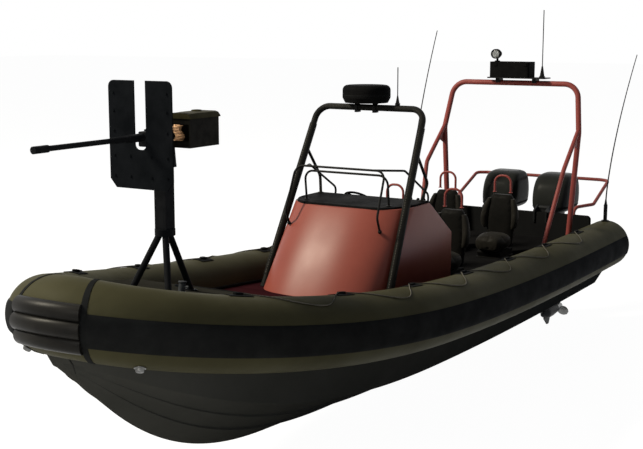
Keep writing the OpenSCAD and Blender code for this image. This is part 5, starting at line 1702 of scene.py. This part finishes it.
        def latch(bm: BMesh) -> None:
            """Adds the latch."""
            Kit.turned(bm, Vector((self.rear_x - 0.015, self.latch_y, self.door_z)), -AHEAD,
                       [(0.028, 0), (0.028, 0.006), (0.022, 0.010), (0.012, 0.022), (0.010, 0.024)], 32)

        dress(Kit.piece("door_latch", "boat", "bright_steel", latch), Finishes.METAL)


# Seats


@dataclass(frozen=True)
class Seats:
    """Four bucket seats with sewn bolsters, made by inflating cloth over slack forms."""

    y: float = 0.425
    rows: Tuple[float, float] = (-1.79, -3.43)
    voxel: float = 0.011
    pressure: float = 4.0
    cloth_mass: float = 0.35
    stiffness: float = 18.0
    last_frame: int = 20
    handle_set: float = 0.02
    handle_z: float = 1.2704
    handle_half: float = 0.12
    handle_rise: float = 0.235
    handle_r: float = 0.016
    handle_bend: float = 0.1008
    back_square: float = 3.4
    bolster_square: float = 2.4
    cushion_square: float = 3.0
    loft_steps: int = 4
    # Columns: height, middle in X, half depth, half width
    back: Tuple[Tuple[float, ...], ...] = (
        (0.505, 0.085, 0.055, 0.165), (0.56, 0.082, 0.062, 0.19), (0.70, 0.075, 0.064, 0.205),
        (0.86, 0.064, 0.066, 0.225), (1.00, 0.050, 0.066, 0.215), (1.12, 0.036, 0.062, 0.190),
        (1.21, 0.026, 0.056, 0.165), (1.255, 0.022, 0.040, 0.135))
    # Columns: height, middle in X, half depth, distance from the middle, half width
    bolster: Tuple[Tuple[float, ...], ...] = (
        (0.775, 0.120, 0.040, 0.205, 0.030), (0.82, 0.122, 0.058, 0.222, 0.040),
        (0.92, 0.116, 0.066, 0.232, 0.043), (1.02, 0.098, 0.060, 0.220, 0.042),
        (1.12, 0.074, 0.050, 0.193, 0.038), (1.19, 0.056, 0.036, 0.168, 0.030))
    # Columns: length, middle height, half height, half width
    cushion: Tuple[Tuple[float, ...], ...] = (
        (0.165, 0.612, 0.100, 0.195), (0.20, 0.614, 0.108, 0.215), (0.32, 0.616, 0.112, 0.225),
        (0.44, 0.614, 0.112, 0.205), (0.52, 0.610, 0.106, 0.180), (0.565, 0.605, 0.085, 0.160))

    def build(self) -> None:
        """Makes the upholstery and handles."""
        dress(frame["nodes"]["seat_pods"], Finishes.POD)
        self._pad("seat_centres", "seat_backs", self._back_form, Finishes.VINYL_DARK, cap=0.012)
        self._pad("seat_bolsters", "seat_backs", self._bolster_form, Finishes.VINYL_LIGHT, cap=0.010)
        self._pad("seat_squabs", "seat_cushions", self._cushion_form, Finishes.VINYL_LIGHT, cap=0.012)
        self._handles()

    @staticmethod
    def _loop(middle: Tuple[float, float], half: Tuple[float, float], power: float,
              sides: int) -> List[Tuple[float, float]]:
        """Makes a rounded rectangle.

        Args:
            middle: Its middle.
            half: Half of its width and of its height.
            power: How square it is; 2 is an ellipse.
            sides: Points round it.

        Returns:
            Its points.
        """
        out = []
        for k in range(sides):
            t = 2 * math.pi * k / sides
            out.append((middle[0] + half[0] * rounded(math.cos(t), power),
                        middle[1] + half[1] * rounded(math.sin(t), power)))
        return out

    def _back_form(self, bm: BMesh) -> None:
        """Adds the slack form of a back's centre.

        Args:
            bm: Mesh to add to.
        """
        sections = []
        for z, mid, deep, wide in smooth_table(self.back, self.loft_steps):
            loop = self._loop((mid, 0.0), (deep, wide), self.back_square, 40)
            sections.append([Vector((u, v, z)) for u, v in loop])
        Kit.skin(bm, sections)

    def _bolster_form(self, bm: BMesh) -> None:
        """Adds the slack forms of a back's two bolsters.

        Args:
            bm: Mesh to add to.
        """
        for s in (-1, 1):
            sections = []
            for z, mid, deep, off, wide in smooth_table(self.bolster, self.loft_steps):
                loop = self._loop((mid, s * off), (deep, wide), self.bolster_square, 28)
                sections.append([Vector((u, v, z)) for u, v in loop])
            Kit.skin(bm, sections)

    def _cushion_form(self, bm: BMesh) -> None:
        """Adds the slack form of a cushion.

        Args:
            bm: Mesh to add to.
        """
        sections = []
        for x, mid, high, wide in smooth_table(self.cushion, self.loft_steps):
            loop = self._loop((0.0, mid), (wide, high), self.cushion_square, 40)
            sections.append([Vector((x, u, v)) for u, v in loop])
        Kit.skin(bm, sections)

    def _pad(self, name: str, node: str, form: Callable[[BMesh], None], finish: Finish,
             cap: float) -> None:
        """Inflates one seat's pad and sets it in all four places.

        Args:
            name: Name of the piece.
            node: CAD node that it stands for.
            form: Fills a mesh with the slack form at the origin.
            finish: Its finish.
            cap: Furthest that a point may swell.
        """
        bm = bmesh.new()
        form(bm)
        source = bpy.data.meshes.new(name)
        bm.to_mesh(source)
        bm.free()
        swollen = self._inflate(source, cap)
        places = [Matrix.Translation((x, side.value * self.y, 0)) for x in self.rows for side in Side]

        def build(target: BMesh) -> None:
            """Adds the pad in each place.

            Args:
                target: Mesh to add to.
            """
            for place in places:
                copy = swollen.copy()
                copy.transform(place)
                target.from_mesh(copy)
                bpy.data.meshes.remove(copy)

        pad = Kit.piece(name, "boat", "seat_cover", build, 60.0)
        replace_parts(dress(pad, finish), node)

    def _inflate(self, mesh: bpy.types.Mesh, cap: float) -> bpy.types.Mesh:
        """Swells a slack form with a cloth simulation.

        Args:
            mesh: Slack form.
            cap: Furthest that a point may move.

        Returns:
            The swollen mesh.
        """
        scene = bpy.context.scene
        work = bpy.data.objects.new("slack", mesh)
        scene.collection.objects.link(work)
        remesh = work.modifiers.new("remesh", "REMESH")
        remesh.mode = "VOXEL"
        remesh.voxel_size = self.voxel
        dense = bpy.data.meshes.new_from_object(work.evaluated_get(bpy.context.evaluated_depsgraph_get()))
        work.modifiers.clear()
        work.data = dense
        rest = [v.co.copy() for v in dense.vertices]
        cloth = work.modifiers.new("cloth", "CLOTH")
        cloth.settings.use_pressure = True
        cloth.settings.uniform_pressure_force = self.pressure
        cloth.settings.mass = self.cloth_mass
        cloth.settings.tension_stiffness = self.stiffness
        cloth.settings.compression_stiffness = self.stiffness
        cloth.settings.effector_weights.gravity = 0.0
        cloth.point_cache.frame_start, cloth.point_cache.frame_end = 1, self.last_frame
        for step in range(1, self.last_frame + 1):
            scene.frame_set(step)
        moved = bpy.data.meshes.new_from_object(work.evaluated_get(bpy.context.evaluated_depsgraph_get()))
        for v, r in zip(moved.vertices, rest):
            shift = v.co - r
            if shift.length > cap:
                v.co = r + shift.normalized() * cap
        bpy.data.objects.remove(work)
        scene.frame_set(1)
        return moved

    def _handles(self) -> None:
        """Makes the red handles on top of the backs."""
        half, rise = self.handle_half, self.handle_rise
        corners = [Vector((0, y, z)) for y, z in ((-half, 0), (-half, rise), (half, rise), (half, 0))]
        flange = [(0.027, 0), (0.027, 0.005), (0.022, 0.009)]

        def build(bm: BMesh) -> None:
            """Adds four handles with their flanges.

            Args:
                bm: Mesh to add to.
            """
            for x in self.rows:
                for side in Side:
                    o = Vector((x + self.handle_set, side.value * self.y, self.handle_z))
                    legs = bent_route([o + c for c in corners], self.handle_bend, 12)
                    Kit.tube(bm, legs, self.handle_r, 20)
                    for y in (-half, half):
                        Kit.turned(bm, o + Vector((0, y, 0)), UP, flange)

        handles = Kit.piece("handle_tubes", "boat", "red_tube", build)
        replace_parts(dress(handles, Finishes.RED_TUBE), "seat_handles")


# Stern


@dataclass(frozen=True)
class Stern:
    """Stern arch with what it carries, the rail round the motors, and the whip antennas' sheaths."""

    path: CollarPath = CollarPath()
    sole_z: float = 0.40
    plate_t: float = 0.014
    arch_foot: Tuple[float, float] = (-4.62, 0.975)
    arch_knee: Point = (-4.65, 1.075, 2.05)
    arch_corner: Point = (-4.80, 0.985, 2.74)
    arch_r: float = 0.04
    arch_bend: float = 0.23
    brace_foot: Tuple[float, float] = (-3.56, 0.965)
    brace_knee: Point = (-4.045, 1.08, 1.56)
    brace_r: float = 0.032
    brace_bend: float = 0.26
    brace_share: float = 0.06
    gusset: float = 0.26
    gusset_reach: float = 0.9
    gusset_drop: float = 0.62
    gusset_half_t: float = 0.005
    bolt_ring: float = 0.055
    bolt_lift: float = 0.0155
    bolt_r: float = 0.007
    rail_foot: Point = (-4.965, 0.93, 0.7804)
    rail_rise: Point = (-0.02, 0.01, 0.11)
    rail_corners: Tuple[Point, ...] = ((-5.32, 1.12, 0.91), (-6.015, 1.115, 1.19), (-6.105, 0.96, 1.19))
    rail_r: float = 0.026
    rail_bend: float = 0.10
    whip_base: float = 0.29
    whip_radii: Tuple[float, float] = (0.0105, 0.0065)
    whip_steps: int = 24
    whip_sweep: float = 1.5
    # Columns: foot along the boat, side, rise, reach aft
    whips: Tuple[Tuple[float, Side, float, float], ...] = (
        (-5.03, Side.PORT, 2.43, 1.27), (-4.15, Side.STARBOARD, 2.80, 0.85))

    def build(self) -> None:
        """Makes the stern's pieces."""
        nodes = frame["nodes"]
        self._arch()
        self._rail()
        dress(nodes["arch_platform"], Finishes.BLACK_TUBE)
        dress(nodes["equipment_box"], Finishes.PANEL)
        dress(nodes["spotlight"], Finishes.PANEL)
        dress(nodes["antennas"], Finishes.BLACK_TUBE)
        self._lamp()
        self._sheaths()

    def _sheaths(self) -> None:
        """Makes the sheaths of the two whip antennas."""
        path = self.path
        shares = [k / self.whip_steps for k in range(self.whip_steps + 1)]

        def build(bm: BMesh) -> None:
            """Adds both sheaths along their swept-back whips.

            Args:
                bm: Mesh to add to.
            """
            for x, side, rise, reach in self.whips:
                foot = Vector((x, side.value * path.side_y, path.height(x) + path.radius))
                route = [foot + Vector((-reach * f ** self.whip_sweep, 0, mix(self.whip_base, rise, f)))
                         for f in shares]
                Kit.tube(bm, route, [mix(*self.whip_radii, f) for f in shares], 12)

        dress(Kit.piece("whip_sheaths", "boat", "black_tube", build), Finishes.BLACK_TUBE)

    def _arch(self) -> None:
        """Makes the arch with its braces, gussets, foot plates and bolts."""
        foot = Vector((*self.arch_foot, self.sole_z + self.plate_t))
        brace_foot = Vector((*self.brace_foot, self.sole_z + self.plate_t))
        knee, corner, bend = Vector(self.arch_knee), Vector(self.arch_corner), Vector(self.brace_knee)
        start = mix(knee, corner, self.brace_share)
        size, half_t = self.gusset, self.gusset_half_t

        def tubes(bm: BMesh) -> None:
            """Adds the tubes, the plates under their feet and the gussets.

            Args:
                bm: Mesh to add to.
            """
            over = [foot, knee, corner, flip(corner), flip(knee), flip(foot)]
            Kit.tube(bm, bent_route(over, self.arch_bend, 12), self.arch_r, 28)
            for side in Side:
                at = side.place
                brace = bent_route([at(start), at(bend), at(brace_foot)], self.brace_bend, 12)
                Kit.tube(bm, brace, self.brace_r, 24)
                for p in (foot, brace_foot):
                    Kit.turned(bm, at(Vector((p.x, p.y, self.sole_z + GAP))), UP,
                               [(0.07, 0), (0.07, 0.012), (0.066, 0.016)], 40)
                sheets = []
                for dy in (-half_t, half_t):
                    y = knee.y + dy
                    tip = Vector((knee.x + size * self.gusset_reach, y, knee.z - size * self.gusset_drop))
                    sheets.append([at(Vector((knee.x, y, knee.z))), at(Vector((knee.x, y, knee.z - size))),
                                   at(tip)])
                Kit.skin(bm, sheets)

        arch = Kit.piece("arch_tubes", "boat", "red_tube", tubes)
        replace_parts(dress(arch, Finishes.RED_TUBE), "stern_arch")

        def bolts(bm: BMesh) -> None:
            """Adds four bolts on each foot plate.

            Args:
                bm: Mesh to add to.
            """
            for side in Side:
                for p in (foot, brace_foot):
                    for k in range(4):
                        a = math.pi / 4 + math.pi / 2 * k
                        x = p.x + self.bolt_ring * math.cos(a)
                        y = side.value * p.y + self.bolt_ring * math.sin(a)
                        Kit.bolt(bm, Vector((x, y, self.sole_z + self.bolt_lift)), UP, self.bolt_r)

        dress(Kit.piece("arch_bolts", "boat", "bright_steel", bolts), Finishes.METAL)

    def _rail(self) -> None:
        """Makes the rail round the motors."""
        foot, rise = Vector(self.rail_foot), Vector(self.rail_rise)
        half = [foot + rise * 0.06, foot + rise] + [Vector(p) for p in self.rail_corners]

        def build(bm: BMesh) -> None:
            """Adds the rail and its two flanges.

            Args:
                bm: Mesh to add to.
            """
            route = bent_route(half + [flip(q) for q in reversed(half)], self.rail_bend)
            Kit.tube(bm, route, self.rail_r, 20)
            for side in Side:
                Kit.turned(bm, side.place(foot), UP, [(0.033, 0), (0.033, 0.009), (0.029, 0.012)])

        rail = Kit.piece("rail_round_motors", "boat", "red_tube", build)
        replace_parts(dress(rail, Finishes.RED_TUBE), "stern_rail")

    def _lamp(self) -> None:
        """Makes the spotlight's lens."""
        low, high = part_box("spotlight")
        centre = Vector((high.x - 0.022, (low.y + high.y) / 2, high.z - 0.072))

        def lens(bm: BMesh) -> None:
            """Adds the domed lens."""
            profile = [(0.058, 0), (0.0585, 0.006), (0.045, 0.013), (0.02, 0.017)]
            Kit.turned(bm, centre, AHEAD, profile, 40)

        dress(Kit.piece("lamp_lens", "boat", "black_tube", lens), Finishes.LENS)


# Motors


@dataclass(frozen=True)
class Motors:
    """Two outboards: lacquered cowls over the CAD legs."""

    y: float = 0.42
    low_z: float = 0.745
    top_z: float = 1.31
    front_x: float = -5.195
    rear_x: float = -5.995
    half_w: float = 0.29
    squareness: float = 4.6
    ring_sides: int = 72
    trim_shares: Tuple[float, float] = (0.10, 0.17)
    trim_grow: Tuple[float, ...] = (0.0008, 0.0035, 0.0035, 0.0008)
    vents_z: Tuple[float, ...] = (1.0, 1.035, 1.07)
    vent_set: float = 0.012
    vent_size: Point = (0.03, 0.20, 0.014)
    # Columns: share of the height, front set back, rear set forward, share of the half width
    cowl: Tuple[Tuple[float, ...], ...] = (
        (0, 0.060, 0.090, 0.80), (0.06, 0.015, 0.040, 0.93), (0.18, 0, 0.012, 0.985), (0.36, 0, 0, 1),
        (0.55, 0.022, 0.004, 0.995), (0.72, 0.062, 0.022, 0.97), (0.86, 0.125, 0.062, 0.92),
        (0.95, 0.200, 0.120, 0.83), (1, 0.300, 0.215, 0.66))

    def build(self) -> None:
        """Makes the cowls and dresses the rest."""
        nodes = frame["nodes"]
        dress(nodes["motor_clamps"], Finishes.MOTOR)
        for side in Side:
            for name in ("swivel_", "leg_"):
                dress(nodes[name + side.word], Finishes.MOTOR)
            dress(nodes["powerhead_" + side.word], Finishes.ENGINE)
            dress(nodes["propeller_" + side.word], Finishes.METAL)
            self._cowl(side)

    def _ring(self, row: Sequence[float], y: float, grow: float = 0.0) -> List[Vector]:
        """Makes a level ring of the cowl.

        Args:
            row: Row of the cowl's table.
            y: Middle of the motor.
            grow: Distance outside the cowl.

        Returns:
            Points of the ring.
        """
        share, front, rear, width = row
        x0, x1 = self.rear_x + rear - grow, self.front_x - front + grow
        z = self.low_z + (self.top_z - self.low_z) * share
        out = []
        for k in range(self.ring_sides):
            a = -2 * math.pi * k / self.ring_sides
            out.append(Vector(((x0 + x1) / 2 + (x1 - x0) / 2 * rounded(math.cos(a), self.squareness),
                               y + (self.half_w * width + grow) * rounded(math.sin(a), self.squareness), z)))
        return out

    def _cowl(self, side: Side) -> None:
        """Makes one cowl with its belt and vents.

        Args:
            side: Side of the boat.
        """
        y = side.value * self.y
        rows = smooth_table(self.cowl, 5)
        body = "motor_" + side.word
        rings = [self._ring(r, y) for r in rows]
        cowl = Kit.skinned("cowl_skin_" + side.word, body, "cowl_grey", rings, 45.0)
        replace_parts(dress(cowl, Finishes.COWL), "cowl_" + side.word)

        def trim(bm: BMesh) -> None:
            """Adds the belt round the cowl and the vents at its rear.

            Args:
                bm: Mesh to add to.
            """
            belt = [r for r in rows if self.trim_shares[0] <= r[0] <= self.trim_shares[1]]
            Kit.skin(bm, [self._ring(r, y, grow) for r, grow in zip(belt, self.trim_grow)])
            for z in self.vents_z:
                Kit.block(bm, Vector((self.rear_x + self.vent_set, y, z)), self.vent_size, 0.005)

        dress(Kit.piece("cowl_trim_" + side.word, body, "cowl_grey", trim), Finishes.RUBBER)


# Gun


@dataclass(frozen=True)
class GunMount:
    """Tripod, shield and gun in outer form, with the belt in its box."""

    x: float = 3.57
    axis_z: float = 2.59
    nose_x: float = 0.24
    nose_drop: float = 0.0175
    nose_size: Point = (0.10, 0.096, 0.135)
    face_x: float = 0.314
    bolt_r: float = 0.010
    # Pairs of the bolts' places across the shield and their heights
    bolt_rows: Tuple[Tuple[Tuple[float, ...], Tuple[float, ...]], ...] = (
        ((-0.30, -0.12, 0.12, 0.30), (2.24, 2.42)), ((-0.30, 0.30), (2.64, 2.82, 2.98)))
    rounds: int = 11
    # Lowest and highest round above the belt's box, and the wave's two sides in it
    belt_z: Tuple[float, float] = (0.006, 0.138)
    belt_y: Tuple[float, float] = (0.03, 0.07)
    # Columns: radius, distance from the base
    cartridge: Tuple[Tuple[float, float], ...] = (
        (0.0045, 0), (0.0062, 0.002), (0.0062, 0.072), (0.0044, 0.080), (0.0042, 0.094), (0.0010, 0.108))
    # Columns: share of the half width, height
    lid: Tuple[Tuple[float, float], ...] = (
        (-1.0, 0.0), (-0.99, 0.012), (-0.80, 0.046), (-0.5, 0.053), (0, 0.055), (0.5, 0.053), (0.80, 0.046),
        (0.99, 0.012), (1.0, 0.0))

    def build(self) -> None:
        """Dresses the mount and adds its fittings."""
        nodes = frame["nodes"]
        for name in ("gun_tripod", "gun_yoke", "gun_receiver", "gun_barrel"):
            dress(nodes[name], Finishes.GUN)
        dress(nodes["gun_shield"], Finishes.SHIELD)
        # The box's near-black finish is painted shade over its olive paint.
        dress(nodes["ammo_box"], Finishes.BOX)
        self._nose()
        self._belt()
        self._bolts()
        self._lid()

    def _nose(self) -> None:
        """Makes the receiver's nose, which fills the shield's slot behind the barrel."""

        def build(bm: BMesh) -> None:
            """Adds the nose."""
            centre = Vector((self.x + self.nose_x, 0, self.axis_z - self.nose_drop))
            Kit.block(bm, centre, self.nose_size, 0.012)

        dress(Kit.piece("receiver_nose", "gun", "gun_black", build), Finishes.GUN)

    def _belt(self) -> None:
        """Makes the rounds in the belt."""
        low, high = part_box("ammo_belt")

        def build(bm: BMesh) -> None:
            """Adds the rounds in a wavy row.

            Args:
                bm: Mesh to add to.
            """
            for k in range(self.rounds):
                f = k / (self.rounds - 1)
                z = mix(low.z + self.belt_z[0], low.z + self.belt_z[1], f)
                wave = 0.5 + 0.5 * math.sin(2 * math.pi * f)
                y = mix(low.y + self.belt_y[0], low.y + self.belt_y[1], wave)
                Kit.turned(bm, Vector((high.x - 0.012, y - 0.02, z)), ACROSS, self.cartridge, 14)

        belt = Kit.piece("belt_rounds", "gun", "belt_brass", build)
        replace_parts(dress(belt, Finishes.BRASS), "ammo_belt")

    def _bolts(self) -> None:
        """Makes the bolts on the shield's face."""

        def build(bm: BMesh) -> None:
            """Adds the bolts row by row.

            Args:
                bm: Mesh to add to.
            """
            for across, heights in self.bolt_rows:
                for y in across:
                    for z in heights:
                        Kit.bolt(bm, Vector((self.x + self.face_x, y, z)), AHEAD, self.bolt_r)

        dress(Kit.piece("shield_bolts", "gun_carriage", "gun_black", build), Finishes.SHIELD)

    def _lid(self) -> None:
        """Makes the ammunition box's domed lid with its knob."""
        low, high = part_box("ammo_box")

        def build(bm: BMesh) -> None:
            """Adds the lid and the knob.

            Args:
                bm: Mesh to add to.
            """
            ends = [[low.x - 0.001, 0.9], [mix(low.x, high.x, 0.25), 1.0], [mix(low.x, high.x, 0.75), 1.0],
                    [high.x + 0.001, 0.9]]
            mid, half = (low.y + high.y) / 2, (high.y - low.y) / 2
            base = high.z - 0.050
            sections = []
            for x, k in smooth_table(ends, 4):
                sections.append([Vector((x, mid + (half + 0.003) * u, base + v * k)) for u, v in self.lid])
            Kit.skin(bm, sections)
            Kit.turned(bm, Vector((mix(low.x, high.x, 0.42), mid, high.z + 0.002)), UP,
                       [(0.05, 0), (0.05, 0.008), (0.044, 0.013), (0.02, 0.016)], 32)

        dress(Kit.piece("box_lid", "gun", "box_olive", build), Finishes.OLIVE)


# Foredeck


@dataclass(frozen=True)
class Foredeck:
    """Fittings on the bow locker."""

    door_z: float = 0.93
    door_size: Point = (0.018, 0.86, 0.20)
    latches_y: Tuple[float, float] = (-0.30, 0.30)
    latch_z: float = 0.99
    latch_size: Point = (0.012, 0.05, 0.03)

    def build(self) -> None:
        """Dresses the mooring bitt and adds the locker's door."""
        dress(frame["nodes"]["bow_bitt"], Finishes.BITT)
        rear_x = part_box("bow_locker")[0].x

        def door(bm: BMesh) -> None:
            """Adds the door and its latches.

            Args:
                bm: Mesh to add to.
            """
            Kit.block(bm, Vector((rear_x - self.door_size[0] / 2, 0, self.door_z)), self.door_size, 0.008)
            for y in self.latches_y:
                Kit.block(bm, Vector((rear_x - 0.022, y, self.latch_z)), self.latch_size, 0.004)

        dress(Kit.piece("locker_door", "boat", "deck_grey", door), Finishes.TRANSOM)


def main() -> None:
    """Builds the scene and reports each new piece."""
    logging.basicConfig(level=logging.INFO)
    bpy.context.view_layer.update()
    Stage().build()
    for assembly in (Collar(), HullSkin(), Console(), Seats(), Stern(), Motors(), GunMount(), Foredeck()):
        before = set(bpy.data.objects.keys())
        assembly.build()
        for name in bpy.data.objects.keys():
            if name not in before:
                LOG.info("%s: %s", type(assembly).__name__, name)


if __name__ == "__main__":
    main()
